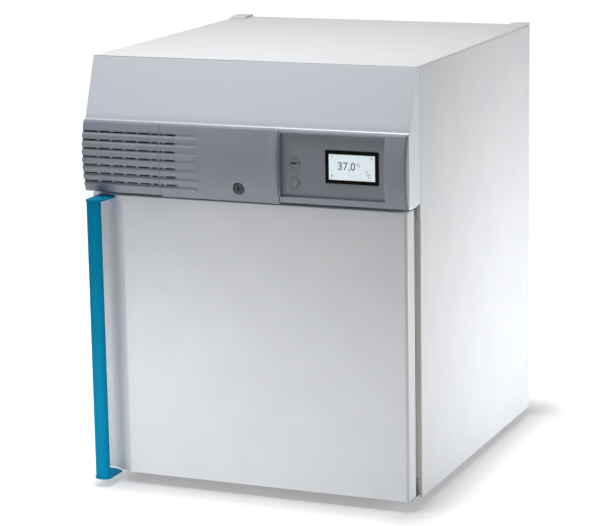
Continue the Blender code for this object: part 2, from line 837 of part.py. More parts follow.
def electronics():
    """The tray over the insulation and the power supply on it, in the machine space."""
    wide = HALF - SHEET - 2 * CLEAR
    low = height(INSULATION_TOP + CLEAR)
    tray = block(
        "electronics_tray",
        (-wide, wide),
        (depth(CHAMBER_FRONT), depth(INSULATION_BACK)),
        (low, low + SHEET),
    )
    part(tray, "zinc")
    base = low + SHEET + CLEAR
    rear = INSULATION_BACK - SUPPLY_TO_BACK
    supply = block(
        "power_supply",
        (SUPPLY_X - SUPPLY_WIDTH / 2, SUPPLY_X + SUPPLY_WIDTH / 2),
        (depth(rear - SUPPLY_DEPTH), depth(rear)),
        (base, base + SUPPLY_HEIGHT),
    )
    part(soften(supply, SHEET, 1), "zinc")


def band_front(up, inset=0.0):
    """Depth of the band's front at a height: an arc that bulges between the band's edges."""
    half = (BAND_TOP - HEADER_BOTTOM) / 2
    middle = (BAND_TOP + HEADER_BOTTOM) / 2
    radius = (half**2 + BAND_BULGE**2) / (2 * BAND_BULGE)
    away = min(abs(up - middle), half)
    return BAND_EDGE + radius - BAND_BULGE - math.sqrt(radius**2 - away**2) + inset


def band_section(bottom, top, back, inset=0.0, steps=12):
    """The band's section between two heights, from its arc to a flat back, as (depth, height)."""
    levels = [bottom + (top - bottom) * i / steps for i in range(steps + 1)]
    front = [(depth(band_front(up, inset)), height(up)) for up in levels]
    return [(depth(back), height(bottom))] + front + [(depth(back), height(top))]


def louvre_grooves(name, left, right):
    """Cutters for the groove along each row of slots.

    Each groove has an overhanging upper lip, a flat floor for the slots and a ledge that slopes out.
    """
    lip = SLOT_HEIGHT / 2 + CLEAR / 2
    reach = BAND_BULGE + LOUVRE_GROOVE
    grooves = []
    for row in range(LOUVRE_ROWS):
        middle = LOUVRE_TOP_ROW - row * LOUVRE_PITCH
        floor = band_front(middle, LOUVRE_GROOVE)
        section = [
            (depth(floor), height(middle - lip)),
            (depth(floor), height(middle + lip)),
            (depth(floor - reach), height(middle + lip)),
            (depth(floor - reach), height(middle - lip - reach)),
        ]
        grooves.append(outline_solid(name + "_" + str(row), [section], "YZ", left, right))
    return grooves


def round_band_end(moulding, side, radius):
    """Round the upright outer corner of a band moulding, at its left (-1) or right (1) end."""
    work = bmesh.new()
    work.from_mesh(moulding.data)
    end = max(side * vertex.co.z for vertex in work.verts)
    back = max(vertex.co.x for vertex in work.verts)
    corner = [
        edge
        for edge in work.edges
        if all(side * v.co.z > end - CLEAR and v.co.x < back - CLEAR for v in edge.verts)
    ]
    bmesh.ops.bevel(work, geom=corner, offset=radius, segments=4, profile=0.5, affect="EDGES")
    work.to_mesh(moulding.data)
    work.free()
    return moulding


def slot_spans():
    """Left and right end of each column of slots, the last one cut short at the end of their field."""
    spans = [(FIRST_SLOT, FIRST_SLOT + FIRST_SLOT_LENGTH)]
    left = FIRST_SLOT + FIRST_SLOT_LENGTH + SLOT_PITCH - SLOT_LENGTH
    while left + SLOT_HEIGHT < SLOT_END:
        spans.append((left, min(left + SLOT_LENGTH, SLOT_END)))
        left += SLOT_PITCH
    return spans


def slot_boxes(left_limit, right_limit):
    """The slots of every row that lie between two values of X, cut short at the limits."""
    boxes = []
    for row in range(LOUVRE_ROWS):
        middle = LOUVRE_TOP_ROW - row * LOUVRE_PITCH
        up = (height(middle - SLOT_HEIGHT / 2), height(middle + SLOT_HEIGHT / 2))
        for left, right in slot_spans():
            across = (max(left, left_limit), min(right, right_limit))
            if across[1] - across[0] > SLOT_HEIGHT:
                boxes.append((across, (depth(IN_FRONT), depth(BAND_BACK)), up))
    return boxes


def header_fascia():
    """The moulded hood over the door: two cheeks, a sloping front and a frame that carries the band."""
    top = BODY_HEIGHT - SHEET - CLEAR
    slope = (ROOF_FRONT - SLOPE_FOOT) / (top - SLOPE_FOOT_HEIGHT)
    back = HOUSING_FRONT - CLEAR
    shape = [
        (BAND_BACK, HEADER_BOTTOM),
        (back, HEADER_BOTTOM),
        (back, top),
        (ROOF_FRONT, top),
        (SLOPE_FOOT, SLOPE_FOOT_HEIGHT),
        (BAND_BACK, BAND_TOP + CLEAR),
    ]
    wall = HEADER_WALL
    inner = [
        (BAND_BACK + wall, HEADER_BOTTOM + wall),
        (back + PAST, HEADER_BOTTOM + wall),
        (back + PAST, top - wall),
        (ROOF_FRONT + wall, top - wall),
        (SLOPE_FOOT + wall, SLOPE_FOOT_HEIGHT - wall * slope),
        (BAND_BACK + wall, BAND_TOP - wall),
    ]
    shape = [(depth(away), height(up)) for away, up in shape]
    inner = [(depth(away), height(up)) for away, up in inner]
    hood = outline_solid("header_fascia", [shape], "YZ", -HALF, HALF)
    space = outline_solid("header_space", [inner], "YZ", -HALF + wall, HALF - wall)
    reach = (depth(IN_FRONT), depth(BAND_BACK + 2 * wall))
    margin = WINDOW_MARGIN
    full = (height(HEADER_BOTTOM + margin), height(BAND_TOP - margin))
    low = (height(RECESS_BOTTOM + margin / 2), height(RECESS_TOP - margin / 2))
    windows = blocks(
        "header_windows",
        [
            ((-HALF + margin, LEFT_SEAM - margin), reach, full),
            ((LEFT_SEAM + margin, RECESS_LEFT - 2 * margin), reach, full),
            ((RECESS_LEFT + margin / 2, RECESS_RIGHT - margin / 2), reach, low),
        ],
    )
    cam_slot = block(
        "header_cam_slot",
        (LOCK_X - CAM_WIDTH / 2 - CAM_CLEAR, LOCK_X + CAM_LENGTH),
        (depth(CAM_DEPTH - CAM_CLEAR), depth(CAM_DEPTH + CAM_THICKNESS + CAM_CLEAR)),
        (height(HEADER_BOTTOM - PAST), height(HEADER_BOTTOM + 2 * wall)),
    )
    cut(hood, space, windows, cam_slot)
    part(hood, "silver_grey")


def band_pocket(name, left, right, bottom, top, inset):
    """The hollow behind a band moulding, which leaves a wall of even thickness along the arc."""
    shape = band_section(bottom, top, BAND_BACK + PAST, inset)
    return outline_solid(name, [shape], "YZ", left, right)


def louvre_panel():
    """The left third of the band, a convex moulding with a grid of slots in stepped grooves."""
    left = -HALF
    right = LEFT_SEAM - CLEAR
    section = band_section(HEADER_BOTTOM, BAND_TOP, BAND_BACK - CLEAR)
    panel = outline_solid("louvre_panel", [section], "YZ", left, right)
    round_band_end(panel, -1, END_RADIUS / 2)
    pocket = band_pocket(
        "louvre_pocket",
        left + BAND_WALL,
        right - BAND_WALL,
        HEADER_BOTTOM + BAND_RIM,
        BAND_TOP - BAND_RIM,
        LOUVRE_GROOVE + GROOVE_WALL,
    )
    grooves = louvre_grooves("louvre_groove", left - PAST, right + PAST)
    slots = blocks("louvre_slots", slot_boxes(FIRST_SLOT, right - SEAM_LAND))
    part(cut(panel, pocket, *grooves, slots), "band_grey")


def sloped_rib(rib):
    """Lower the rib's left end into the cover, so that the rib rises in a slope to a flat crest."""
    work = bmesh.new()
    work.from_mesh(rib.data)
    end = min(vertex.co.z for vertex in work.verts)
    back = max(vertex.co.x for vertex in work.verts)
    crest = Vector((0, 0, end + COVER_RIB - COVER_CREST))
    everything = work.verts[:] + work.edges[:] + work.faces[:]
    bmesh.ops.bisect_plane(work, geom=everything, plane_co=crest, plane_no=Vector((0, 0, 1)))
    for vertex in work.verts:
        if vertex.co.z < end + CLEAR and vertex.co.x < back - CLEAR:
            vertex.co.x += COVER_PROUD + COVER_STEP
    work.to_mesh(rib.data)
    work.free()
    return rib


def cover_panel():
    """The middle of the band, a fixed cover with a proud rib down its right edge and a lip below.

    The louvre grooves run a little way into it, and the door lock comes through it near its lower edge.
    """
    back = BAND_BACK - CLEAR
    left = LEFT_SEAM + CLEAR
    right = RECESS_LEFT - CLEAR
    bottom = HEADER_BOTTOM - COVER_DROP
    panel = outline_solid(
        "cover_panel", [band_section(HEADER_BOTTOM, BAND_TOP, back)], "YZ", left, right - COVER_STEP
    )
    lip = block(
        "cover_lip",
        (left + COVER_STEP, right - COVER_STEP * 2),
        (depth(BAND_EDGE + COVER_STEP), depth(BAND_EDGE + COVER_DROP)),
        (height(bottom), height(HEADER_BOTTOM + COVER_DROP)),
    )
    rib = outline_solid(
        "cover_rib",
        [band_section(bottom - COVER_STEP, BAND_TOP + 2 * COVER_STEP, back - COVER_STEP, -COVER_PROUD)],
        "YZ",
        right - COVER_RIB,
        right,
    )
    join(panel, lip, soften(sloped_rib(rib), RIB_EDGE, 2))
    pocket = band_pocket(
        "cover_pocket",
        left + BAND_WALL,
        right - COVER_RIB,
        LOCK_HEIGHT + LOCK_FLANGE + BAND_RIM,
        BAND_TOP - BAND_RIM,
        LOUVRE_GROOVE + GROOVE_WALL,
    )
    grooves = louvre_grooves("cover_groove", left - PAST, LOUVRE_END)
    slots = blocks("cover_slots", slot_boxes(left + SEAM_LAND / 2, LOUVRE_END))
    up = height(LOCK_HEIGHT)
    seat = rod(
        "cover_lock_seat",
        LOCK_FLANGE + CLEAR,
        (LOCK_X, depth(IN_FRONT), up),
        (LOCK_X, depth(LOCK_SEAT), up),
    )
    hole = rod(
        "cover_lock_hole",
        LOCK_RADIUS + CLEAR,
        (LOCK_X, depth(IN_FRONT), up),
        (LOCK_X, depth(BAND_BACK + PAST), up),
    )
    part(cut(panel, pocket, *grooves, slots, seat, hole), "band_grey")


def lock():
    """The door lock: a fixed cylinder body, and a rotor with a keyway and a cam that turns to the door."""
    up = height(LOCK_HEIGHT)
    body = rod("lock_body", LOCK_RADIUS, (LOCK_X, depth(LOCK_FRONT), up), (LOCK_X, depth(LOCK_TAIL), up))
    flange = rod(
        "lock_flange",
        LOCK_FLANGE - LOCK_CHAMFER,
        (LOCK_X, depth(LOCK_FRONT), up),
        (LOCK_X, depth(LOCK_SEAT - CLEAR), up),
        end_radius=LOCK_FLANGE,
    )
    bore = rod(
        "lock_bore",
        ROTOR_RADIUS + CLEAR,
        (LOCK_X, depth(IN_FRONT), up),
        (LOCK_X, depth(LOCK_TAIL + PAST), up),
    )
    part(cut(join(body, flange), bore), "lock_chrome")
    rotor = rod(
        "lock_rotor",
        ROTOR_RADIUS,
        (LOCK_X, depth(LOCK_FRONT + ROTOR_SET_BACK), up),
        (LOCK_X, depth(CAM_DEPTH), up),
    )
    half = CAM_WIDTH / 2
    arm = rectangle(LOCK_X - half, LOCK_X + CAM_LENGTH, up - half, up + half, half - CLEAR)
    cam = outline_solid(
        "lock_cam", [arm], "XZ", depth(CAM_DEPTH - CLEAR), depth(CAM_DEPTH + CAM_THICKNESS)
    )
    keyway = block(
        "lock_keyway",
        (LOCK_X - KEYWAY_WIDTH / 2, LOCK_X + KEYWAY_WIDTH / 2),
        (depth(IN_FRONT), depth(LOCK_FRONT + KEYWAY_DEPTH)),
        (up - KEYWAY_HEIGHT / 2, up + KEYWAY_HEIGHT / 2),
    )
    part(cut(join(rotor, cam), keyway), "lock_chrome", LOCK_AXIS)


def control_bezel():
    """The right third of the band: a convex frame around the control recess."""
    section = band_section(HEADER_BOTTOM, BAND_TOP, BAND_BACK - CLEAR)
    frame = outline_solid("control_bezel", [section], "YZ", RECESS_LEFT, HALF)
    round_band_end(frame, 1, END_RADIUS)
    window = block(
        "bezel_window",
        (RECESS_LEFT + BAND_WALL, RECESS_RIGHT),
        (depth(IN_FRONT), depth(BAND_BACK + PAST)),
        (height(RECESS_BOTTOM), height(RECESS_TOP)),
    )
    part(cut(frame, window), "band_grey")


def control_panel():
    """The dark flat plate at the back of the recess, with holes for the display, button and socket."""
    fit = CLEAR
    loops = [
        rectangle(
            RECESS_LEFT + BAND_WALL + fit,
            RECESS_RIGHT - fit,
            height(RECESS_BOTTOM + fit),
            height(RECESS_TOP - fit),
        ),
        rectangle(
            DISPLAY_LEFT + DISPLAY_FLANGE - fit,
            DISPLAY_RIGHT - DISPLAY_FLANGE + fit,
            height(DISPLAY_BOTTOM + DISPLAY_FLANGE - fit),
            height(DISPLAY_TOP - DISPLAY_FLANGE + fit),
        ),
        circle(KNOB_X, height(BUTTON_HEIGHT), RING_RADIUS - RING_FLANGE + fit),
        circle(KNOB_X, height(SOCKET_HEIGHT), RING_RADIUS - RING_FLANGE + fit),
    ]
    plate = outline_solid("control_panel", loops, "XZ", depth(0), depth(CONTROL_SHEET))
    part(plate, "control_grey")


def display():
    """The display: a black housing that fills the plate's window, and the screen glass in its front."""
    front = -DISPLAY_PROUD
    bottom = height(DISPLAY_BOTTOM)
    top = height(DISPLAY_TOP)
    shape = rectangle(DISPLAY_LEFT, DISPLAY_RIGHT, bottom, top, DISPLAY_PROUD)
    face = outline_solid("display_frame", [shape], "XZ", depth(front), depth(-CLEAR))
    body = block(
        "display_body",
        (DISPLAY_LEFT + DISPLAY_FLANGE, DISPLAY_RIGHT - DISPLAY_FLANGE),
        (depth(front / 2), depth(DISPLAY_BODY)),
        (bottom + DISPLAY_FLANGE, top - DISPLAY_FLANGE),
    )
    left = DISPLAY_LEFT + SCREEN_BORDER
    right = DISPLAY_RIGHT - SCREEN_BORDER
    low = bottom + SCREEN_BORDER
    top = top - SCREEN_BORDER
    floor = depth(front + GLASS_THICKNESS + CLEAR)
    pocket = block("display_pocket", (left, right), (depth(IN_FRONT), floor), (low, top))
    part(cut(join(face, body), pocket), "black_gloss")
    glass = block(
        "display_glass",
        (left + CLEAR, right - CLEAR),
        (depth(front), depth(front + GLASS_THICKNESS)),
        (low + CLEAR, top - CLEAR),
    )
    part(glass, "screen")


def push_ring(name, up):
    """A round bezel in the control plate: a thin flange on the front and a barrel through the hole."""
    flange = rod(name, RING_RADIUS, (KNOB_X, depth(-RING_PROUD), up), (KNOB_X, depth(-CLEAR), up))
    barrel = rod(
        name + "_barrel",
        RING_RADIUS - RING_FLANGE,
        (KNOB_X, depth(-RING_PROUD / 2), up),
        (KNOB_X, depth(RING_DEPTH), up),
    )
    return join(flange, barrel)


def power_button():
    """The power button: a fixed ring, and a cap that travels into it against a switch on the board."""
    up = height(BUTTON_HEIGHT)
    bore = rod(
        "button_bore",
        BUTTON_RADIUS + CLEAR,
        (KNOB_X, depth(IN_FRONT), up),
        (KNOB_X, depth(RING_DEPTH + PAST), up),
    )
    part(cut(push_ring("power_button_ring", up), bore), "band_grey")
    cap = rod(
        "power_button", BUTTON_RADIUS, (KNOB_X, depth(-BUTTON_PROUD), up), (KNOB_X, depth(RING_DEPTH), up)
    )
    part(soften(cap, 2 * CLEAR, 1), "band_grey", BUTTON_AXIS)


def service_socket():
    """The round service socket: a ring like the button's, filled, with a flat connector well in it."""
    up = height(SOCKET_HEIGHT)
    body = push_ring("service_socket", up)
    half = SOCKET_WIDTH / 2
    tall = SOCKET_OPENING / 2
    box = block(
        "socket_box",
        (KNOB_X - half - SOCKET_WALL, KNOB_X + half + SOCKET_WALL),
        (depth(CONTROL_SHEET / 2), depth(SOCKET_DEPTH + SOCKET_WALL)),
        (up - tall - SOCKET_WALL, up + tall + SOCKET_WALL),
    )
    well = block(
        "socket_well",
        (KNOB_X - half, KNOB_X + half),
        (depth(IN_FRONT), depth(SOCKET_DEPTH)),
        (up - tall, up + tall),
    )
    tongue = block(
        "socket_tongue",
        (KNOB_X - half + SOCKET_WALL, KNOB_X + half - SOCKET_WALL),
        (depth(0), depth(SOCKET_DEPTH + SOCKET_WALL / 2)),
        (up, up + tall - SOCKET_WALL / 2),
    )
    part(join(cut(join(body, box), well), tongue), "control_grey")


def control_board():
    """The circuit board behind the controls, on four pillars, with the button's switch."""
    left = RECESS_LEFT + BOARD_MARGIN
    right = RECESS_RIGHT - BOARD_MARGIN
    low = height(RECESS_BOTTOM + BOARD_MARGIN)
    top = height(RECESS_TOP - BOARD_MARGIN)
    front = depth(BOARD_DEPTH)
    board = block("control_board", (left, right), (front, front + BOARD_THICKNESS), (low, top))
    middle = front + BOARD_THICKNESS / 2
    for side, x in (("left", left + PILLAR_INSET), ("right", right - PILLAR_INSET)):
        for level, z in (("low", low + PILLAR_INSET), ("high", top - PILLAR_INSET)):
            pillar = rod(
                "board_pillar_" + level + "_" + side,
                PILLAR_RADIUS,
                (x, depth(CONTROL_SHEET + CLEAR), z),
                (x, middle, z),
                sides=12,
            )
            join(board, pillar)
    up = height(BUTTON_HEIGHT)
    switch = block(
        "board_switch",
        (KNOB_X - PILLAR_RADIUS, KNOB_X + PILLAR_RADIUS),
        (depth(RING_DEPTH + BUTTON_TRAVEL + CLEAR), middle),
        (up - PILLAR_RADIUS, up + PILLAR_RADIUS),
    )
    part(join(board, switch), "board_green")


def air_filter():
    """The filter mat that fills the window behind the louvres."""
    margin = WINDOW_MARGIN + CLEAR
    mat = block(
        "air_filter",
        (-HALF + margin, LEFT_SEAM - margin),
        (depth(BAND_BACK), depth(BAND_BACK + FILTER_DEPTH)),
        (height(HEADER_BOTTOM + margin), height(BAND_TOP - margin)),
    )
    part(mat, "filter_mat")


def door_outline(inset=0.0, back=DOOR_SKIN_DEPTH):
    """The door's plan: rounded front corner at the hinge, and the handle's recess down its left edge."""
    slant = Vector((GRIP_FLOOR_X - GRIP_FACE_X, GRIP_DEPTH)).normalized()
    shift = inset * (1 + slant.x) / slant.y
    fillet = GRIP_FILLET
    corners = [
        (DOOR_HALF_WIDTH - inset, back, 0),
        (-DOOR_HALF_WIDTH + inset, back, 0),
        (-DOOR_HALF_WIDTH + inset, GRIP_DEPTH + inset, fillet / 2),
        (GRIP_FLOOR_X + shift, GRIP_DEPTH + inset, fillet + inset),
        (GRIP_FACE_X + shift, inset, fillet),
        (DOOR_HALF_WIDTH - inset, inset, DOOR_CORNER - inset),
    ]
    return [(x, depth(y)) for x, y in rounded(corners, 4)]


def door_shell():
    """The door's outer pan with the handle recess, closed on all sides but the rear."""
    shell = outline_solid(
        "door_shell", [door_outline()], "XY", height(DOOR_BOTTOM), height(DOOR_TOP)
    )
    low = height(DOOR_TOP - GUSSET)
    top = height(DOOR_TOP)
    inner = GRIP_FACE_X + GRIP_FILLET
    corner = [(inner, low), (inner, top), (GRIP_FACE_X - GUSSET, top), (GRIP_FACE_X, low)]
    gusset = outline_solid("door_gusset", [corner], "XZ", depth(0), depth(GUSSET_DEPTH))
    join(shell, gusset)
    space = outline_solid(
        "door_space",
        [door_outline(DOOR_SHEET, DOOR_SKIN_DEPTH + PAST)],
        "XY",
        height(DOOR_BOTTOM + DOOR_SHEET),
        height(DOOR_TOP - DOOR_SHEET),
    )
    cut(shell, space, *door_holes("shell"))
    shade_round(shell)
    part(shell, "white_paint", DOOR_AXIS)


def door_holes(use):
    """Clearance for both hinge pins and for the lock's cam in the door's edges."""
    place = (HINGE_X, depth(HINGE_DEPTH))
    radius = PIN_RADIUS + CLEAR
    upper = rod(
        "upper_pin_hole_" + use,
        radius,
        (*place, height(DOOR_TOP - PIN_REACH - CLEAR)),
        (*place, height(DOOR_TOP + PAST)),
        "Z",
        20,
    )
    lower = rod(
        "lower_pin_hole_" + use,
        radius,
        (*place, height(DOOR_BOTTOM - PAST)),
        (*place, height(DOOR_BOTTOM + PIN_REACH + CLEAR)),
        "Z",
        20,
    )
    reach = CAM_LENGTH + CAM_CLEAR
    drop = LOCK_HEIGHT - DOOR_TOP
    swing = math.sqrt(reach**2 - drop**2)
    cam = block(
        "cam_hole_" + use,
        (LOCK_X - CAM_WIDTH / 2 - CAM_CLEAR, LOCK_X + swing + CAM_CLEAR),
        (depth(CAM_DEPTH - CAM_CLEAR), depth(CAM_DEPTH + CAM_THICKNESS + CAM_CLEAR)),
        (height(LOCK_HEIGHT - reach - CLEAR), height(DOOR_TOP + PAST)),
    )
    return upper, lower, cam


def pan_shape(name, grow):
    """The inner panel's block and its raised plug, all faces but the front moved out by grow."""
    wide = DOOR_HALF_WIDTH - DOOR_PAN_INSET + grow
    low = DOOR_BOTTOM + DOOR_PAN_INSET - grow
    top = DOOR_TOP - DOOR_PAN_INSET + grow
    back = DOOR_SKIN_DEPTH + DOOR_PAN_DEPTH + grow
    front = DOOR_SKIN_DEPTH + CLEAR if grow == 0 else DOOR_SKIN_DEPTH - PAN_SHEET
    pan = block(name, (-wide, wide), (depth(front), depth(back)), (height(low), height(top)))
    half = CHAMBER_WIDTH / 2 - PLUG_CLEAR + grow
    bottom = height(CHAMBER_FLOOR + PLUG_CLEAR - grow)
    ceiling = height(CHAMBER_TOP - PLUG_CLEAR + grow)
    raised = rectangle(-half, half, bottom, ceiling, PLUG_CORNER + grow)
    plug = outline_solid(
        name + "_plug", [raised], "XZ", depth(front + PAN_SHEET), depth(HOUSING_FRONT + PLUG_DEPTH + grow)
    )
    return join(pan, plug)


def door_foam():
    """The insulation that fills the door's skin and the hollow of its inner panel."""
    gap = DOOR_SHEET + CLEAR
    foam = outline_solid(
        "door_foam",
        [door_outline(gap)],
        "XY",
        height(DOOR_BOTTOM + gap),
        height(DOOR_TOP - gap),
    )
    fill = pan_shape("foam_fill", -PAN_SHEET - CLEAR)
    part(cut(join(foam, fill), *door_holes("foam")), "foam", DOOR_AXIS)


def door_pan():
    """The door's inner panel: a sheet tray with a raised plug that stands in the chamber's mouth."""
    pan = soften(pan_shape("door_inner_panel", 0), PAN_EDGE, 1)
    part(cut(pan, pan_shape("pan_hollow", -PAN_SHEET)), "white_paint", DOOR_AXIS)


def door_gasket():
    """The soft magnetic seal around the door's inner panel."""
    wide = DOOR_HALF_WIDTH - GASKET_INSET
    low = DOOR_BOTTOM + GASKET_INSET
    top = DOOR_TOP - GASKET_INSET
    width = GASKET_WIDTH
    loops = [
        rectangle(-wide, wide, height(low), height(top), GASKET_CORNER),
        rectangle(-wide + width, wide - width, height(low + width), height(top - width), GASKET_CORNER / 2),
    ]
    front = depth(DOOR_SKIN_DEPTH + DOOR_PAN_DEPTH + CLEAR)
    seal = outline_solid("door_gasket", loops, "XZ", front, depth(HOUSING_FRONT - CLEAR))
    part(seal, "gasket_grey", DOOR_AXIS)


def hinge(name, seat, leaf_end, pin_tip):
    """A hinge bracket: a leaf under or over the door, a leg on the housing's flange, and its pin.

    seat is the face of the leaf towards the door, leaf_end its other face, pin_tip the pin's end.
    """
    low, top = sorted((seat, leaf_end))
    towards = 1 if seat > leaf_end else -1
    leg = sorted((leaf_end, leaf_end + towards * BRACKET_LEG))
    left = HINGE_X - BRACKET_SIDE
    right = HALF - DOOR_SIDE_GAP
    front = depth(HINGE_DEPTH - BRACKET_FRONT)
    back = depth(HOUSING_FRONT - CLEAR)
    corner = BRACKET_CORNER
    corners = [(left, front, corner), (right, front, corner), (right, back, 0), (left, back, 0)]
    leaf = outline_solid("hinge_bracket_" + name, [rounded(corners)], "XY", height(low), height(top))
    leg_plate = block(
        "bracket_leg_" + name,
        (DOOR_HALF_WIDTH - DOOR_PAN_INSET + BRACKET, right),
        (back - BRACKET, back),
        (height(leg[0]), height(leg[1])),
    )
    place = (HINGE_X, depth(HINGE_DEPTH))
    hole = rod(
        "bracket_hole_" + name,
        PIN_RADIUS + CLEAR,
        (*place, height(low - PAST)),
        (*place, height(top + PAST)),
        "Z",
        20,
    )
    part(cut(join(leaf, leg_plate), hole), "zinc")
    ends = sorted((leaf_end, pin_tip))
    pin = rod(
        "hinge_pin_" + name, PIN_RADIUS, (*place, height(ends[0])), (*place, height(ends[1])), "Z", 20
    )
    part(pin, "stainless")


def hinges():
    """The upper hinge in the gap under the header, and the lower one under the door."""
    upper_seat = DOOR_TOP + HINGE_GAP
    lower_seat = DOOR_BOTTOM - HINGE_GAP
    hinge("upper", upper_seat, upper_seat + BRACKET, DOOR_TOP - PIN_REACH)
    hinge("lower", lower_seat, lower_seat - BRACKET, DOOR_BOTTOM + PIN_REACH)


def handle_section(overhang, back):
    """The bar's plan: a gently crowned front between two straight sides, with rounded corners."""
    left = HANDLE_LEFT - overhang
    right = HANDLE_RIGHT + overhang
    middle = (left + right) / 2
    half = (right - left) / 2
    front = -HANDLE_REACH + END_OVERHANG - overhang
    crown = []
    for step in range(9):
        across = -1 + step / 4
        crown.append((middle + half * across, depth(front + HANDLE_CROWN * across**2), 0.0))
    crown[0] = (*crown[0][:2], HANDLE_CORNER)
    crown[-1] = (*crown[-1][:2], HANDLE_CORNER)
    return rounded([(left, depth(back), HANDLE_CORNER)] + crown + [(right, depth(back), HANDLE_CORNER)], 3)


def handle():
    """The upright grip bar, and the two end plates that carry it from the door's recess."""
    bar_back = -HANDLE_REACH + END_OVERHANG + HANDLE_THICKNESS
    bar = outline_solid(
        "handle_bar",
        [handle_section(0, bar_back)],
        "XY",
        height(HANDLE_BOTTOM + END_PLATE + CLEAR),
        height(HANDLE_TOP - END_PLATE - CLEAR),
    )
    shade_round(bar)
    part(bar, "teal", DOOR_AXIS)
    levels = (("bottom", HANDLE_BOTTOM), ("top", HANDLE_TOP - END_PLATE))
    for name, low in levels:
        plate = outline_solid(
            "handle_end_" + name,
            [end_plate_outline()],
            "XY",
            height(low),
            height(low + END_PLATE),
        )
        shade_round(plate)
        part(plate, "teal", DOOR_AXIS)


def end_plate_outline():
    """The end plate's plan: crowned and rounded at the front, cut to the recess at the back."""
    slope = (GRIP_FLOOR_X - GRIP_FACE_X) / GRIP_DEPTH
    left = HANDLE_LEFT - END_OVERHANG
    right = HANDLE_RIGHT + END_OVERHANG
    floor = GRIP_DEPTH - 2 * CLEAR
    slant = (right + END_OVERHANG - GRIP_FACE_X) / slope - 2 * CLEAR
    bar_back = END_OVERHANG + HANDLE_THICKNESS - HANDLE_REACH
    front = [point for point in handle_section(END_OVERHANG, 0) if point[1] < depth(bar_back)]
    corner = (GRIP_FLOOR_X - END_OVERHANG, depth(floor))
    return [(left, depth(floor))] + front + [(right, depth(min(floor, slant))), corner]


def rear_baffle():
    """The sheet in front of the fan: an intake of slots in the middle and outlets down both sides."""
    half = CHAMBER_WIDTH / 2 - BAFFLE_SIDE
    low = height(CHAMBER_FLOOR + BAFFLE_END)
    top = height(CHAMBER_TOP - BAFFLE_END)
    front = depth(BAFFLE_FRONT)
    back = depth(CHAMBER_BACK - CLEAR)
    baffle = block("rear_baffle", (-half, half), (front, back), (low, top))
    hollow = block(
        "baffle_hollow",
        (-half + BAFFLE_SHEET, half - BAFFLE_SHEET),
        (front + BAFFLE_SHEET, back + PAST),
        (low + BAFFLE_SHEET, top - BAFFLE_SHEET),
    )
    reach = (front - PAST, front + PAST)
    slots = []
    middle = height(CHAMBER_MIDDLE)
    rows = int((FAN_RADIUS - INTAKE_PITCH) / INTAKE_PITCH)
    for row in range(-rows, rows + 1):
        up = middle + INTAKE_PITCH * row
        wide = math.sqrt(FAN_RADIUS**2 - (INTAKE_PITCH * row) ** 2) - AIR_SLOT
        slots.append(((-wide, wide), reach, (up - AIR_SLOT / 2, up + AIR_SLOT / 2)))
    for side in (-1, 1):
        outer = half - OUTLET_EDGE
        across = tuple(sorted((side * outer, side * (outer - OUTLET_LENGTH))))
        for row in range(OUTLET_ROWS):
            up = middle + OUTLET_PITCH * (row - (OUTLET_ROWS - 1) / 2)
            slots.append((across, reach, (up - AIR_SLOT / 2, up + AIR_SLOT / 2)))
    part(cut(baffle, hollow, blocks("baffle_slots", slots)), "stainless")


def fan():
    """The circulation fan: a motor in the rear insulation and a bladed wheel on its shaft."""
    up = height(CHAMBER_MIDDLE)
    motor_front = CHAMBER_BACK + LINER_SHEET + CLEAR
    motor = rod(
        "fan_motor", MOTOR_RADIUS, (0, depth(motor_front), up), (0, depth(motor_front + MOTOR_LENGTH), up)
    )
    bore = rod(
        "motor_bore",
        SHAFT_RADIUS + CLEAR,
        (0, depth(motor_front - PAST), up),
        (0, depth(motor_front + SHAFT_REACH + CLEAR), up),
        sides=20,
    )
    part(cut(motor, bore), "zinc")
    front = BAFFLE_FRONT + BAFFLE_SHEET + FAN_GAP
    back = front + FAN_WIDTH
    wheel = rod(
        "fan_wheel", FAN_RADIUS, (0, depth(back), up), (0, depth(back + WHEEL_SHEET), up), sides=48
    )
    hub = rod(
        "fan_hub", HUB_RADIUS, (0, depth(front), up), (0, depth(back + WHEEL_SHEET / 2), up), sides=24
    )
    shaft = rod(
        "fan_shaft",
        SHAFT_RADIUS,
        (0, depth(front + WHEEL_SHEET), up),
        (0, depth(motor_front + SHAFT_REACH), up),
        sides=20,
    )
    join(wheel, hub, shaft, fan_blades(front, back + WHEEL_SHEET / 2))
    part(wheel, "stainless", FAN_AXIS)


def fan_blades(front, back):
    """A ring of blades, each an arc that leans back from the hub side to the wheel's rim."""
    inner = FAN_RADIUS * 0.55
    outer = FAN_RADIUS - 0.001
    up = height(CHAMBER_MIDDLE)
    loops = []
    for blade in range(FAN_BLADES):
        start = 2 * math.pi * blade / FAN_BLADES
        line = []
        for step in range(5):
            share = step / 4
            radius = inner + (outer - inner) * share
            angle = start + 0.55 * share**1.3
            line.append((radius * math.cos(angle), radius * math.sin(angle)))
        loops.append(ribbon(line, BLADE_SHEET, up))
    return outline_solid("fan_blades", loops, "XZ", depth(front), depth(back))


def ribbon(line, thick, up):
    """A closed outline of even thickness along a line of points, lifted to a height."""
    sides = ([], [])
    for i, point in enumerate(line):
        before = Vector(line[max(i - 1, 0)])
        after = Vector(line[min(i + 1, len(line) - 1)])
        along = (after - before).normalized()
        across = Vector((-along.y, along.x)) * thick / 2
        sides[0].append((point[0] + across.x, point[1] + across.y + up))
        sides[1].append((point[0] - across.x, point[1] - across.y + up))
    return sides[0] + sides[1][::-1]


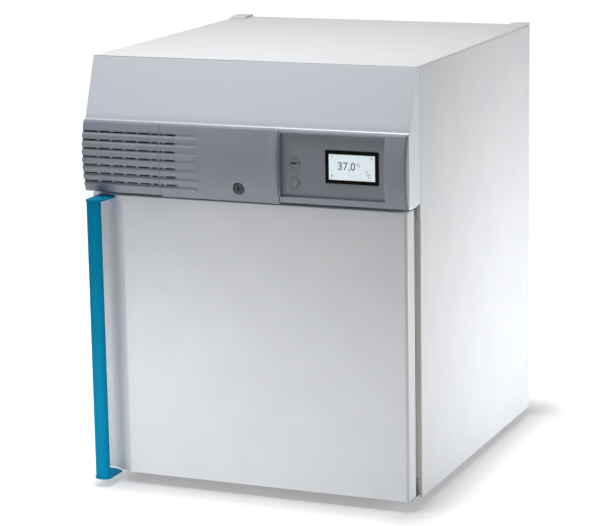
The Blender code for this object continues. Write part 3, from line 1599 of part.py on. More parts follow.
def ring_heater():
    """The tubular heater around the fan, with both ends turned back to the chamber's rear wall."""
    up = height(CHAMBER_MIDDLE)
    away = depth((BAFFLE_FRONT + CHAMBER_BACK) / 2)
    wall = depth(CHAMBER_BACK - CLEAR)
    opening = math.radians(9)
    steps = 40
    points = []
    for step in range(steps + 1):
        angle = opening + (2 * math.pi - 2 * opening) * step / steps
        points.append((HEATER_RADIUS * math.sin(angle), away, up + HEATER_RADIUS * math.cos(angle)))
    first = (points[0][0], wall, points[0][2])
    last = (points[-1][0], wall, points[-1][2])
    part(tube("ring_heater", [first] + points + [last], HEATER_TUBE), "zinc")


def temperature_probe():
    """The slim probe that stands out of the baffle into the chamber, with the nut that holds it."""
    tip = PROBE_RADIUS / 4
    profile = [
        (0, PROBE_LENGTH),
        (PROBE_RADIUS - tip, PROBE_LENGTH),
        (PROBE_RADIUS, PROBE_LENGTH - tip),
        (PROBE_RADIUS, PROBE_NUT),
        (PROBE_NUT_RADIUS, PROBE_NUT),
        (PROBE_NUT_RADIUS, 0),
        (0, 0),
    ]
    place = (CHAMBER_WIDTH / 2 - PROBE_EDGE, depth(BAFFLE_FRONT - CLEAR), height(CHAMBER_TOP - PROBE_DROP))
    part(turned("temperature_probe", profile, place, (math.pi / 2, 0, 0), 16), "stainless")


def rack_rail_height(rail):
    """Height of the top of a rail above the housing's underside."""
    return CHAMBER_FLOOR + RACK_FIRST + RACK_PITCH * rail


def shelf_racks():
    """A ladder on each side wall of the chamber: two uprights joined by the rails that carry shelves."""
    front = CHAMBER_FRONT + RACK_END
    back = BAFFLE_FRONT - RACK_END
    run = (depth(front - RAIL_END), depth(back + RAIL_END))
    tall = (height(CHAMBER_FLOOR + CHAMBER_CORNER), height(rack_rail_height(RACK_RAILS - 1) + RACK_TOP))
    wall = CHAMBER_WIDTH / 2 - CLEAR
    for side, name in ((-1, "shelf_rack_left"), (1, "shelf_rack_right")):
        upright = sorted((side * wall, side * (wall - RACK_ROD)))
        rail_width = sorted((side * (wall - FRAME_MARGIN), side * (wall - RACK_RAIL)))
        rack = block(name, upright, (depth(front), depth(front + RACK_UPRIGHT)), tall)
        join(rack, block(name + "_rear", upright, (depth(back - RACK_UPRIGHT), depth(back)), tall))
        for rail in range(RACK_RAILS):
            up = height(rack_rail_height(rail))
            join(rack, block(name + "_rail_" + str(rail), rail_width, run, (up - RACK_ROD, up)))
        part(rack, "stainless")


def shelf_slots(name, half, front, back, low):
    """Cutters for a shelf's grid of slots, with a solid border all round."""
    pitch_x = 2 * (half - SHELF_BORDER) / SHELF_COLUMNS
    pitch_y = (back - front - 2 * SHELF_BORDER) / SHELF_ROWS
    slots = []
    for column in range(SHELF_COLUMNS):
        x = -half + SHELF_BORDER + pitch_x * (column + 0.5)
        across = (x - (pitch_x - SHELF_WEB) / 2, x + (pitch_x - SHELF_WEB) / 2)
        for row in range(SHELF_ROWS):
            y = front + SHELF_BORDER + pitch_y * (row + 0.5)
            along = (depth(y - SHELF_SLOT / 2), depth(y + SHELF_SLOT / 2))
            slots.append((across, along, (height(low - PAST), height(low + PAST))))
    return blocks(name + "_slots", slots)


def shelves():
    """Perforated sheet shelves with turned-up edges, each resting on one pair of rails."""
    half = CHAMBER_WIDTH / 2 - RACK_ROD - SHELF_SIDE_GAP
    front = CHAMBER_FRONT + SHELF_FRONT_GAP
    back = BAFFLE_FRONT - SHELF_BACK_GAP
    for name, rail in zip(("shelf_lower", "shelf_upper"), SHELF_RAILS):
        low = rack_rail_height(rail) + CLEAR
        top = height(low + SHELF_LIP)
        shelf = block(name, (-half, half), (depth(front), depth(back)), (height(low), top))
        hollow = block(
            name + "_hollow",
            (-half + SHELF_SHEET, half - SHELF_SHEET),
            (depth(front + SHELF_SHEET), depth(back - SHELF_SHEET)),
            (height(low + SHELF_SHEET), top + PAST),
        )
        part(cut(shelf, hollow, shelf_slots(name, half, front, back, low)), "stainless")


def build():
    """Make every part of the incubator."""
    outer_housing()
    stacking_lugs()
    base_plate()
    feet()
    rear_panel()
    mains_inlet()
    front_frame()
    chamber_liner()
    insulation()
    electronics()
    header_fascia()
    louvre_panel()
    cover_panel()
    lock()
    control_bezel()
    control_panel()
    display()
    power_button()
    service_socket()
    control_board()
    air_filter()
    door_shell()
    door_foam()
    door_pan()
    door_gasket()
    hinges()
    handle()
    rear_baffle()
    fan()
    ring_heater()
    temperature_probe()
    shelf_racks()
    shelves()


clear_scene()
PARTS = new_collection("microbiological_incubator")
CUTTERS = new_collection("cutters")
CABINET = empty("cabinet_origin", (0, 0, 0))
DOOR_AXIS = empty("door_axis", (HINGE_X, depth(HINGE_DEPTH), height(DOOR_BOTTOM)))
LOCK_AXIS = empty("lock_axis", (LOCK_X, depth(CAM_DEPTH), height(LOCK_HEIGHT)))
BUTTON_AXIS = empty("button_axis", (KNOB_X, depth(0), height(BUTTON_HEIGHT)))
FAN_AXIS = empty("fan_axis", (0, depth(CHAMBER_BACK), height(CHAMBER_MIDDLE)))
build()
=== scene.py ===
# %% [markdown]
# # Dressing a laboratory incubator
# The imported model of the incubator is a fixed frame: every sheet, moulding and hinge already has its
# real size and place. This script gives it its surfaces. Pieces that need a smoother or finer form are
# worked out with numpy and stand for the plain ones, and the rest keep their shape and get a finish.

import json
import math

import bmesh
import bpy
import numpy as np
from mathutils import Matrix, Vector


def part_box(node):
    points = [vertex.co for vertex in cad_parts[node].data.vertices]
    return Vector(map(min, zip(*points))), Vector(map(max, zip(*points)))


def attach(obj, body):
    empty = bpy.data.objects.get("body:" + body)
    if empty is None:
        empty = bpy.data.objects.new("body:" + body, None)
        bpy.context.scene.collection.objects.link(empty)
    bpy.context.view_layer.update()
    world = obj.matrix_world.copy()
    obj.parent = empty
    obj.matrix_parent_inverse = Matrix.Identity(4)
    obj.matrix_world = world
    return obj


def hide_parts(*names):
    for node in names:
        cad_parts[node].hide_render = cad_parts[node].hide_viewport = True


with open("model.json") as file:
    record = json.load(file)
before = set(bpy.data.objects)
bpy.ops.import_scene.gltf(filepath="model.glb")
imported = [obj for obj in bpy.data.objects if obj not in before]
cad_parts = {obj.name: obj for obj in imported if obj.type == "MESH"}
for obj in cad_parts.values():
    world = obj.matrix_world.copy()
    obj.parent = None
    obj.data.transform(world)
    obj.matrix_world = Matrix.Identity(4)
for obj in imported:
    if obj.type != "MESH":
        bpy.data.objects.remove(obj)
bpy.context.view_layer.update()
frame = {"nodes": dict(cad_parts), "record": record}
SLOT_OF = {row["node"]: row["material_slot"] for row in frame["record"]["subparts"]}


print("nodes in the frame:", len(frame["nodes"]))

# %% [markdown]
# ## Camera
# The view is a long lens from a little above, turned towards the side wall. Its place and direction
# come from a camera fitted to the corners of the cabinet, so that the edges fall where they should.

# %% Camera
CAMERA_PLACE = (1.9495, -4.7035, 1.5202)
CAMERA_TURN = (77.766, 0.996, 22.762)
LENS = 146.6

camera_data = bpy.data.cameras.new("camera")
camera_data.lens = LENS
camera_data.sensor_width = 36.0
camera_data.clip_end = 200.0
camera = bpy.data.objects.new("camera", camera_data)
camera.location = CAMERA_PLACE
camera.rotation_euler = [math.radians(angle) for angle in CAMERA_TURN]
bpy.context.scene.collection.objects.link(camera)
bpy.context.scene.camera = camera
bpy.context.scene.view_settings.view_transform = "Standard"
print("camera is", round(math.dist(CAMERA_PLACE, (0, 0, 0.45)), 2), "m from the middle of the cabinet")

# %% [markdown]
# ## Colours and shader nodes
# Colours are written as the hex values that a colour picker shows, and one function turns them to the
# linear values that Blender works with. One more function adds any shader node with its settings. Every
# finish then varies with a noise of a real size, most of whose values lie between 0.3 and 0.7.

# %% Colour and node helpers


def linear(code):
    """The linear colour of an sRGB hex value: the inverse of the sRGB curve on each channel."""
    channels = np.array([int(code[i : i + 2], 16) for i in (1, 3, 5)]) / 255
    lifted = np.where(channels > 0.04045, ((channels + 0.055) / 1.055) ** 2.4, channels / 12.92)
    return (*lifted.tolist(), 1.0)


def add(tree, kind, inputs=None, **settings):
    """Add a node of a kind, with its settings, and its inputs as values or as links from sockets."""
    made = tree.nodes.new(kind)
    for name, value in settings.items():
        setattr(made, name, value)
    for name, value in (inputs or {}).items():
        if isinstance(value, bpy.types.NodeSocket):
            tree.links.new(value, made.inputs[name])
        else:
            made.inputs[name].default_value = value
    return made


def principled(name, colour, roughness, metallic=0.0, **more):
    """A material with a Principled shader and a place to read a pattern from, in metres."""
    material = bpy.data.materials.new(name)
    material.use_nodes = True
    tree = material.node_tree
    shader = tree.nodes["Principled BSDF"]
    shader.inputs["Base Color"].default_value = linear(colour)
    shader.inputs["Roughness"].default_value = roughness
    shader.inputs["Metallic"].default_value = metallic
    for socket, value in more.items():
        shader.inputs[socket.replace("_", " ").title()].default_value = value
    place = add(tree, "ShaderNodeTexCoord").outputs["Object"]
    return material, tree, shader, place


NOISE_SPREAD = (0.3, 0.7)


def mottle(tree, place, shader, colours, size_mm, stretch=(1, 1, 1), detail=2.0):
    """Let the base colour wander between two colours, in patches of a real size.

    The patches are longer along an axis whose stretch is small.
    """
    mapped = add(tree, "ShaderNodeMapping", {"Vector": place, "Scale": stretch})
    patches = {"Vector": mapped.outputs["Vector"], "Scale": 1000 / size_mm, "Detail": detail}
    noise = add(tree, "ShaderNodeTexNoise", patches)
    ramp = add(tree, "ShaderNodeValToRGB", {"Fac": noise.outputs["Fac"]})
    for stop, position, colour in zip(ramp.color_ramp.elements, NOISE_SPREAD, colours):
        stop.position = position
        stop.color = linear(colour)
    tree.links.new(ramp.outputs["Color"], shader.inputs["Base Color"])
    return noise


def relief(tree, place, shader, size_mm, depth_mm, strength, detail=2.0):
    """Bump from a noise of its own: hills of a real width and height."""
    noise = add(tree, "ShaderNodeTexNoise", {"Vector": place, "Scale": 1000 / size_mm, "Detail": detail})
    hills = {"Height": noise.outputs["Fac"], "Strength": strength, "Distance": depth_mm / 1000}
    bump = add(tree, "ShaderNodeBump", hills)
    tree.links.new(bump.outputs["Normal"], shader.inputs["Normal"])
    return noise


def gloss_range(tree, noise, shader, low, high):
    """Let the roughness follow a noise, between two values."""
    limits = {"Value": noise.outputs["Fac"], "To Min": low, "To Max": high}
    limits["From Min"], limits["From Max"] = NOISE_SPREAD
    spread = add(tree, "ShaderNodeMapRange", limits)
    tree.links.new(spread.outputs["Result"], shader.inputs["Roughness"])


print("hex #808080 is linear", round(linear("#808080")[0], 3))

# %% [markdown]
# ## Finishes
# The cabinet is powder-coated sheet steel: a baked polymer coat with the faint dimples of orange peel.
# The dimples are about 2 mm across, barely there, and only soften the reflections.

# %% Powder-coated steel


def powder_coat(name, colour, shade):
    """Semi-gloss powder coat with a faint orange peel and a trace of uneven tone."""
    material, tree, shader, place = principled(name, colour, 0.42)
    mottle(tree, place, shader, (shade, colour), 90.0)
    peel = relief(tree, place, shader, 2.2, 0.03, 0.25)
    gloss_range(tree, peel, shader, 0.38, 0.48)
    return material


white_coat = powder_coat("powder_coated_steel_white", "#EEF0F2", "#EAECEF")

# %% [markdown]
# The hood and its band are moulded ABS. The hood is lacquered silver grey, with flakes too fine to see
# one by one, so they are drawn at 0.7 mm. The band is the same family in a darker satin grey, with the
# fine spark-eroded grain of its mould.

# %% Lacquered and grained mouldings


def silver_lacquer(name, colour, flake):
    """Satin silver lacquer: part metallic, with flakes of a lighter tone."""
    material, tree, shader, place = principled(name, colour, 0.40, 0.12)
    flakes = mottle(tree, place, shader, (colour, flake), 0.7, detail=4.0)
    gloss_range(tree, flakes, shader, 0.36, 0.44)
    return material


def grained_plastic(name, colour, shade, grain_mm=0.9, roughness=0.5):
    """Satin moulded plastic with the grain of an eroded mould."""
    material, tree, shader, place = principled(name, colour, roughness)
    mottle(tree, place, shader, (shade, colour), 40.0)
    grain = relief(tree, place, shader, grain_mm, 0.03, 0.3, detail=3.0)
    gloss_range(tree, grain, shader, roughness - 0.05, roughness + 0.05)
    return material


silver_hood = silver_lacquer("lacquered_abs_silver", "#DFE6EC", "#E5ECF2")
grey_band = grained_plastic("satin_abs_grey", "#9EA2AD", "#9A9DA9")
dark_plate = grained_plastic("grained_abs_dark_grey", "#8D929A", "#898D95", roughness=0.55)
ring_grey = grained_plastic("satin_abs_ring_grey", "#868A93", "#81848D", roughness=0.42)

# %% [markdown]
# The handle is an aluminium section with a smooth satin lacquer in a saturated teal. Its gloss is held
# low, because a white room mirrored in it would wash the colour out. Acrylic, rubber, the soft door seal
# and the open-cell filter are plainer, each with its own gloss.

# %% Lacquer, acrylic, rubber, seal and filter


def lacquer(name, colour, shade, roughness, gloss):
    """Smooth coloured lacquer, slightly uneven in tone, with a share of the usual mirror gloss."""
    material, tree, shader, place = principled(name, colour, roughness)
    shader.inputs["Specular IOR Level"].default_value = gloss
    mottle(tree, place, shader, (shade, colour), 60.0)
    relief(tree, place, shader, 3.0, 0.02, 0.12)
    return material


def soft_skin(name, colour, shade, grain_mm, depth_mm, roughness):
    """A matt skin such as rubber, vinyl or foam, with a grain of a real size."""
    material, tree, shader, place = principled(name, colour, roughness)
    mottle(tree, place, shader, (shade, colour), 4 * grain_mm)
    relief(tree, place, shader, grain_mm, depth_mm, 0.6, detail=4.0)
    return material


teal_lacquer = lacquer("lacquered_aluminium_teal", "#0093BE", "#008EB8", 0.5, 0.05)
black_acrylic = lacquer("acrylic_black", "#060709", "#040506", 0.3, 0.05)
black_rubber = soft_skin("moulded_rubber_black", "#1B1C1E", "#151618", 1.2, 0.05, 0.75)
seal_vinyl = soft_skin("magnetic_seal_vinyl_grey", "#A9ACB0", "#A2A5AA", 0.8, 0.02, 0.6)
filter_foam = soft_skin("open_cell_filter_foam", "#4A4D52", "#2C2E32", 1.5, 0.6, 0.95)
wall_foam = soft_skin("polyurethane_foam", "#E9DDB6", "#DECFA0", 1.0, 0.15, 0.9)
inlet_plastic = soft_skin("moulded_polyamide_black", "#1A1B1D", "#141517", 0.7, 0.02, 0.5)

# %% [markdown]
# The chamber is brushed stainless steel. Brushing leaves hairlines along the belt's direction, so its
# noise is stretched two hundred times along X. Zinc plate shows pale cloudy patches a few millimetres
# across, and nickel is smooth and a little yellow.

# %% Metals


def brushed_steel(name, colour, shade, along=(0.005, 1, 1)):
    """Brushed stainless steel: hairlines 0.3 mm apart that stretch along one direction."""
    material, tree, shader, place = principled(name, colour, 0.32, 1.0)
    lines = mottle(tree, place, shader, (shade, colour), 0.5, along, 3.0)
    gloss_range(tree, lines, shader, 0.26, 0.42)
    hairs = {"Height": lines.outputs["Fac"], "Strength": 0.15, "Distance": 0.02 / 1000}
    bump = add(tree, "ShaderNodeBump", hairs)
    tree.links.new(bump.outputs["Normal"], shader.inputs["Normal"])
    return material


def plated(name, colour, shade, patch_mm, roughness):
    """Plated or bare metal with cloudy patches of a real size."""
    material, tree, shader, place = principled(name, colour, roughness, 1.0)
    patches = mottle(tree, place, shader, (shade, colour), patch_mm, detail=3.0)
    gloss_range(tree, patches, shader, roughness - 0.06, roughness + 0.08)
    relief(tree, place, shader, 0.8, 0.01, 0.15)
    return material


stainless = brushed_steel("brushed_stainless_steel", "#D3D2CE", "#BFBFBC")
zinc_plate = plated("zinc_plated_steel", "#B9BCC0", "#A4A8AE", 6.0, 0.42)
dull_nickel = plated("darkened_nickel_on_brass", "#474A4E", "#3B3E42", 3.0, 0.34)
heater_alloy = plated("oxidised_heater_alloy", "#6C6459", "#57514A", 5.0, 0.5)
pin_metal = plated("bright_nickel_pin", "#C9CBCC", "#B8BABC", 4.0, 0.22)
board_resin = soft_skin("glass_epoxy_board_green", "#1F5A3A", "#1A4E32", 0.6, 0.02, 0.45)

# %% [markdown]
# The screen gives its own light, so its colour is an emission as well as a base colour. Its digits are
# dark shapes just in front of it.

# %% Screen and ink


def lit_screen(name, colour, edge, strength):
    """A back-lit panel: a pale tone that wanders slightly in patches, and is also its own light."""
    material, tree, shader, place = principled(name, colour, 0.25)
    mottle(tree, place, shader, (edge, colour), 70.0)
    tone = shader.inputs["Base Color"].links[0].from_socket
    tree.links.new(tone, shader.inputs["Emission Color"])
    shader.inputs["Emission Strength"].default_value = strength
    return material


screen_light = lit_screen("back_lit_screen", "#E4F0F6", "#DCEBF2", 0.45)
screen_ink = soft_skin("screen_digits_grey", "#4B5560", "#454F5A", 1.0, 0.001, 0.5)
screen_faint = soft_skin("screen_marks_pale", "#B9C7D0", "#B2C0C9", 1.0, 0.001, 0.5)
print("finishes made:", len(bpy.data.materials))

# %% [markdown]
# ## Floor and light
# The set is a plain white floor under soft boxes. The floor looks white because a part of it glows, but
# only for rays from the camera, a reflection or glass, so it stays white without more light on the
# object. The glow is weaker beside the cabinet: a painted contact shadow round its foot. The rest of
# the floor is an ordinary diffuse surface that keeps the real shadow of the lamps. The world does
# the same: white where it is seen, and a pale even fill everywhere else.

# %% Floor
FLOOR_SIZE = 60.0
# The glow is lower under and beside the cabinet: a painted contact shadow that reaches out from a box round
# its foot.
GLOW_IN_PAINTED_SHADOW, GLOW_NEAR, GLOW_FAR = 0.24, 0.80, 0.35
PAINTED_SHADOW_REACH = 0.17
PAINTED_SHADOW_MIDDLE, PAINTED_SHADOW_HALF = (0.0375, 0.0225, 0.0), (0.2975, 0.3975, 9.0)
FAR_START, FAR_END = 0.3, 3.5
FLOOR_TONE, FLOOR_SHADE = "#E6E7E8", "#E4E5E6"


def seen_rays(tree):
    """One where a ray comes from the camera, a reflection or glass, and nought elsewhere."""
    ray = add(tree, "ShaderNodeLightPath").outputs
    seen = ray["Is Camera Ray"]
    for kind in ("Is Glossy Ray", "Is Transmission Ray"):
        seen = add(tree, "ShaderNodeMath", {0: seen, 1: ray[kind]}, operation="MAXIMUM").outputs[0]
    return seen


floor_paint, tree, shader, place = principled("matt_white_floor", FLOOR_TONE, 0.9)
mottle(tree, place, shader, (FLOOR_SHADE, FLOOR_TONE), 400.0)
shader.inputs["Emission Color"].default_value = linear("#FFFFFF")

# The distance from a box round the cabinet's foot, where the painted contact shadow lies: on each axis, how
# far a point lies outside it.
away = place
for operation, other in (("SUBTRACT", PAINTED_SHADOW_MIDDLE), ("ABSOLUTE", (0, 0, 0)), ("SUBTRACT", PAINTED_SHADOW_HALF)):
    away = add(tree, "ShaderNodeVectorMath", {0: away, 1: other}, operation=operation).outputs[0]
away = add(tree, "ShaderNodeVectorMath", {0: away, 1: (0, 0, 0)}, operation="MAXIMUM").outputs[0]
gap = add(tree, "ShaderNodeVectorMath", {0: away}, operation="LENGTH").outputs["Value"]
# Near the cabinet the floor's glow drops: a painted contact shadow, not one that the lamps cast.
limits = {"Value": gap, "From Max": PAINTED_SHADOW_REACH, "To Min": GLOW_IN_PAINTED_SHADOW, "To Max": GLOW_NEAR}
near = add(tree, "ShaderNodeMapRange", limits, interpolation_type="SMOOTHSTEP")
limits = {"Value": gap, "From Min": FAR_START, "From Max": FAR_END, "To Min": 0.0, "To Max": GLOW_FAR}
far = add(tree, "ShaderNodeMapRange", limits)
total = add(tree, "ShaderNodeMath", {0: near.outputs[0], 1: far.outputs[0]}, operation="ADD")
glow = add(tree, "ShaderNodeMath", {0: seen_rays(tree), 1: total.outputs[0]}, operation="MULTIPLY")
tree.links.new(glow.outputs[0], shader.inputs["Emission Strength"])

half_floor = FLOOR_SIZE / 2
corners = np.array([(-1, -1, 0), (1, -1, 0), (1, 1, 0), (-1, 1, 0)]) * half_floor
floor_mesh = bpy.data.meshes.new("floor")
floor_mesh.from_pydata(corners.tolist(), [], [(0, 1, 2, 3)])
floor_mesh.materials.append(floor_paint)
floor = bpy.data.objects.new("floor", floor_mesh)
bpy.context.scene.collection.objects.link(floor)
print("floor is", FLOOR_SIZE, "m across")

# %% World
WORLD_FILL = 0.06

world = bpy.data.worlds.new("studio")
world.use_nodes = True
bpy.context.scene.world = world
tree = world.node_tree
fill = tree.nodes["Background"]
fill.inputs["Color"].default_value = linear("#F4F8FC")
fill.inputs["Strength"].default_value = WORLD_FILL
white = add(tree, "ShaderNodeBackground", {"Color": linear("#FFFFFF"), "Strength": 1.0})
both = add(tree, "ShaderNodeMixShader", {0: seen_rays(tree), 1: fill.outputs[0], 2: white.outputs[0]})
tree.links.new(both.outputs[0], tree.nodes["World Output"].inputs["Surface"])
print("world fill", WORLD_FILL)

# %% [markdown]
# Five soft boxes shape the cabinet. Two stand low in front, so that the door is brightest at its foot
# and falls off upwards and to the right. One on the right, a little behind, lights the side wall, a wide
# one overhead gives the roof and the hood their tone, and one behind keeps the rear panel readable.

# %% Soft boxes


def soft_box(name, place, target, size, watts, colour="#FFFFFF"):
    """An area light of a size in metres, at a place, facing a target."""
    lamp = bpy.data.lights.new(name, "AREA")
    lamp.shape = "RECTANGLE"
    lamp.size, lamp.size_y = size
    lamp.energy = watts
    lamp.color = linear(colour)[:3]
    box = bpy.data.objects.new(name, lamp)
    box.location = place
    aim = np.subtract(target, place)
    turn = math.atan2(aim[1], aim[0]) - math.pi / 2
    tip = math.atan2(aim[2], math.hypot(aim[0], aim[1])) + math.pi / 2
    box.rotation_euler = (tip, 0, turn)
    bpy.context.scene.collection.objects.link(box)


soft_box("key", (-0.50, -1.0, 0.13), (-0.15, -0.37, 0.22), (0.45, 0.25), 1.7)
soft_box("front", (0.18, -1.12, 0.08), (0.14, -0.37, 0.02), (0.72, 0.16), 1.5)
soft_box("side", (1.30, 0.40, 0.20), (0.0, 0.05, 0.30), (0.8, 0.34), 8.0)
soft_box("top", (-0.15, -0.6, 2.4), (0.0, -0.1, 0.9), (0.8, 0.8), 23.0)
soft_box("back", (-0.9, 1.9, 0.35), (0.0, 0.4, 0.45), (0.9, 0.5), 9.0)

# %% [markdown]
# ## Dressed copies
# Many pieces already have their final form, but their edges are knife-sharp, which no folded sheet or
# moulding is. Each of these gets a copy with its loose triangles merged, flat regions joined to single
# faces, and its edges rounded by a Bevel, so that a fine highlight runs along them.

# %% Copying a node with softened edges
FLAT = math.radians(0.2)
WELD = 2e-6
CREASE = 35.0


def smooth_by_angle(mesh, degrees):
    """Shade smooth, with edges sharper than an angle kept sharp."""
    mesh.shade_smooth()
    mesh.set_sharp_from_angle(angle=math.radians(degrees))


def dressed(node, body, finish, edge_mm, steps=2, crease=CREASE):
    """A copy of a frame node, merged and smoothed, with edges rounded by a radius in millimetres."""
    source = frame["nodes"][node]
    mesh = source.data.copy()
    work = bmesh.new()
    work.from_mesh(mesh)
    bmesh.ops.remove_doubles(work, verts=work.verts, dist=WELD)
    bmesh.ops.dissolve_limit(work, angle_limit=FLAT, verts=work.verts, edges=work.edges)
    bmesh.ops.recalc_face_normals(work, faces=work.faces)
    work.to_mesh(mesh)
    work.free()
    mesh.materials.clear()
    mesh.materials.append(finish)
    copy = bpy.data.objects.new("dressed_" + node, mesh)
    bpy.context.scene.collection.objects.link(copy)
    smooth_by_angle(mesh, crease)
    bevel = copy.modifiers.new("edges", "BEVEL")
    bevel.width = edge_mm / 1000
    bevel.segments = steps
    bevel.limit_method = "ANGLE"
    bevel.angle_limit = math.radians(crease)
    bevel.miter_outer = "MITER_ARC"
    weigh = copy.modifiers.new("flat_faces", "WEIGHTED_NORMAL")
    weigh.keep_sharp = True
    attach(copy, body)
    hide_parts(node)


FINISH_OF_SLOT = {
    "white_paint": white_coat,
    "silver_grey": silver_hood,
    "band_grey": grey_band,
    "control_grey": dark_plate,
    "black_gloss": black_acrylic,
    "screen": screen_light,
    "teal": teal_lacquer,
    "stainless": stainless,
    "zinc": zinc_plate,
    "lock_chrome": dull_nickel,
    "foam": wall_foam,
    "rubber": black_rubber,
    "gasket_grey": seal_vinyl,
    "board_green": board_resin,
    "filter_mat": filter_foam,
}
for node, obj in frame["nodes"].items():
    obj.data.materials.clear()
    obj.data.materials.append(FINISH_OF_SLOT[SLOT_OF[node]])
print("finishes given to", len(frame["nodes"]), "nodes")

# %% [markdown]
# ## Surfaces from grids
# The other pieces are surfaces worked out with numpy. A surface is a grid of points, rows by columns,
# and every four neighbours make one face. Several grids that share their rims close to a solid once
# their doubled points are merged. The next cells hold the few tools that all of these pieces use.

# %% Grids to meshes


def grid_faces(rows, columns):
    """Four-sided faces of a grid whose points are counted row by row."""
    index = np.arange(rows * columns).reshape(rows, columns)
    corners = [index[:-1, :-1], index[:-1, 1:], index[1:, 1:], index[1:, :-1]]
    return np.stack(corners, axis=-1).reshape(-1, 4)


def make_piece(name, points, faces, body, finish, stands_for=()):
    """Turn points and faces into a closed, merged mesh that faces outwards and rides on a body."""
    mesh = bpy.data.meshes.new(name)
    mesh.from_pydata(np.asarray(points).tolist(), [], faces)
    work = bmesh.new()
    work.from_mesh(mesh)
    bmesh.ops.remove_doubles(work, verts=work.verts, dist=WELD)
    bmesh.ops.dissolve_degenerate(work, dist=WELD / 2, edges=work.edges)
    bmesh.ops.recalc_face_normals(work, faces=work.faces)
    loose = sum(1 for edge in work.edges if len(edge.link_faces) != 2)
    if work.calc_volume(signed=True) < 0:
        bmesh.ops.reverse_faces(work, faces=work.faces)
    work.to_mesh(mesh)
    work.free()
    mesh.materials.append(finish)
    smooth_by_angle(mesh, CREASE)
    piece = bpy.data.objects.new(name, mesh)
    bpy.context.scene.collection.objects.link(piece)
    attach(piece, body)
    if stands_for:
        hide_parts(*stands_for)
    print(name, len(mesh.polygons), "faces,", loose, "open edges")


def gather(name, parts, body, finish, stands_for=()):
    """Make one piece of several pairs of points and faces."""
    points, faces, start = [], [], 0
    for some_points, some_faces in parts:
        points.append(some_points)
        faces += [[corner + start for corner in face] for face in some_faces]
        start += len(some_points)
    make_piece(name, np.concatenate(points), faces, body, finish, stands_for)


def open_grid(grid):
    """Points and faces of a grid of points."""
    return grid.reshape(-1, 3), grid_faces(*grid.shape[:2]).tolist()


def flat_cap(ring):
    """Points and the one face of a flat cap, given as a ring of points."""
    return ring, [list(range(len(ring)))]


def ends(grid):
    """The first and the last ring of a grid that closes on itself, each without its doubled point."""
    return [grid[0, :-1], grid[-1, :-1]]


def from_grids(name, grids, caps, body, finish, stands_for=()):
    """Join grids of points and flat caps into one piece."""
    parts = [open_grid(grid) for grid in grids] + [flat_cap(ring) for ring in caps]
    gather(name, parts, body, finish, stands_for)


# %% Outlines with round corners


def round_rectangle(left, right, bottom, top, radius, steps=6):
    """A rectangle's outline whose corners are quarter circles: centre plus radius times (cos, sin)."""
    turn = np.linspace(0, np.pi / 2, steps + 1)
    corners = []
    centres = [
        (right - radius, top - radius),
        (left + radius, top - radius),
        (left + radius, bottom + radius),
        (right - radius, bottom + radius),
    ]
    for quarter, (across, up) in enumerate(centres):
        angle = turn + quarter * np.pi / 2
        corners.append(np.stack([across + radius * np.cos(angle), up + radius * np.sin(angle)], axis=1))
    return np.concatenate(corners)


def box_outline(low, high, radius, inset=0.0, steps=6):
    """The outline of a frame's box seen from the front, moved inwards by an inset."""
    return round_rectangle(low.x + inset, high.x - inset, low.z + inset, high.z - inset, radius, steps)


def centred_outline(centre, half_width, half_height, radius, steps=6):
    """A round-cornered rectangle of a half width and a half height round a centre."""
    across, up = centre
    left, right, bottom, top = across - half_width, across + half_width, up - half_height, up + half_height
    return round_rectangle(left, right, bottom, top, radius, steps)


def front_centre(low, high):
    """The centre of a frame's box seen from the front."""
    return np.array([low.x + high.x, low.z + high.z]) / 2


def shrink(outline, distance):
    """Move an outline inwards: each point goes along the mean of its two edges' inner normals.

    The move is divided by the cosine of half the turn there, so that straight edges stay parallel.
    """
    ahead = np.roll(outline, -1, axis=0) - outline
    ahead /= np.linalg.norm(ahead, axis=1, keepdims=True)
    before = np.roll(ahead, 1, axis=0)
    normal = np.stack([-(ahead + before)[:, 1], (ahead + before)[:, 0]], axis=1)
    half = np.linalg.norm(normal, axis=1, keepdims=True)
    return outline + distance * normal / half * (2 / half)


# %% [markdown]
# A pressed or moulded block is an outline carried along its depth, with both rims rounded. Its rounding
# is a quarter circle: at an angle t the rim has moved in by r(1 - cos t) and on by r sin t.

# %% Blocks with rounded rims
PLACES = {
    "front": lambda a, b, c: np.stack([a, c, b], axis=-1),
    "top": lambda a, b, c: np.stack([a, b, c], axis=-1),
    "side": lambda a, b, c: np.stack([c, a, b], axis=-1),
}


def rim_steps(radius, steps=4):
    """Inward and onward distance of each ring on a quarter-round rim, from the face outwards."""
    turn = np.linspace(0, np.pi / 2, steps + 1)
    return radius * (1 - np.sin(turn)), radius * (1 - np.cos(turn))


def ring_at(outline, inset, level, plane):
    """An outline moved inwards by an inset and closed on itself, at a level of a plane."""
    edge = shrink(outline, inset) if inset else outline
    edge = np.concatenate([edge, edge[:1]])
    return PLACES[plane](edge[:, 0], edge[:, 1], np.full(len(edge), level))


def rings_round(outline, steps, plane):
    """A grid of the outline at each inset and level."""
    return np.stack([ring_at(outline, inset, level, plane) for inset, level in steps])


def block_rings(outline, low, high, rim_low, rim_high, plane, steps=4):
    """Rings of a block from its low face to its high face, as a closed grid in a plane's coordinates."""
    inward, onward = rim_steps(rim_low, steps)
    rings = [*zip(inward, low + onward)]
    inward, onward = rim_steps(rim_high, steps)
    rings += zip(inward[::-1], high - onward[::-1])
    return rings_round(outline, rings, plane)


def block(name, outline, low, high, rims, plane, body, finish, stands_for=(), steps=4):
    """A solid of one outline between two levels, with its low and high rims rounded."""
    grid = block_rings(outline, low, high, *rims, plane, steps)
    from_grids(name, [grid], ends(grid), body, finish, stands_for)


# %% [markdown]
# A turned piece is a profile of radius and distance carried round an axis, and a bent rod is a circle
# carried along a path. Both are one grid: the first parameter runs along the profile or the path, the
# second one round.

# %% Turned pieces and bent rods


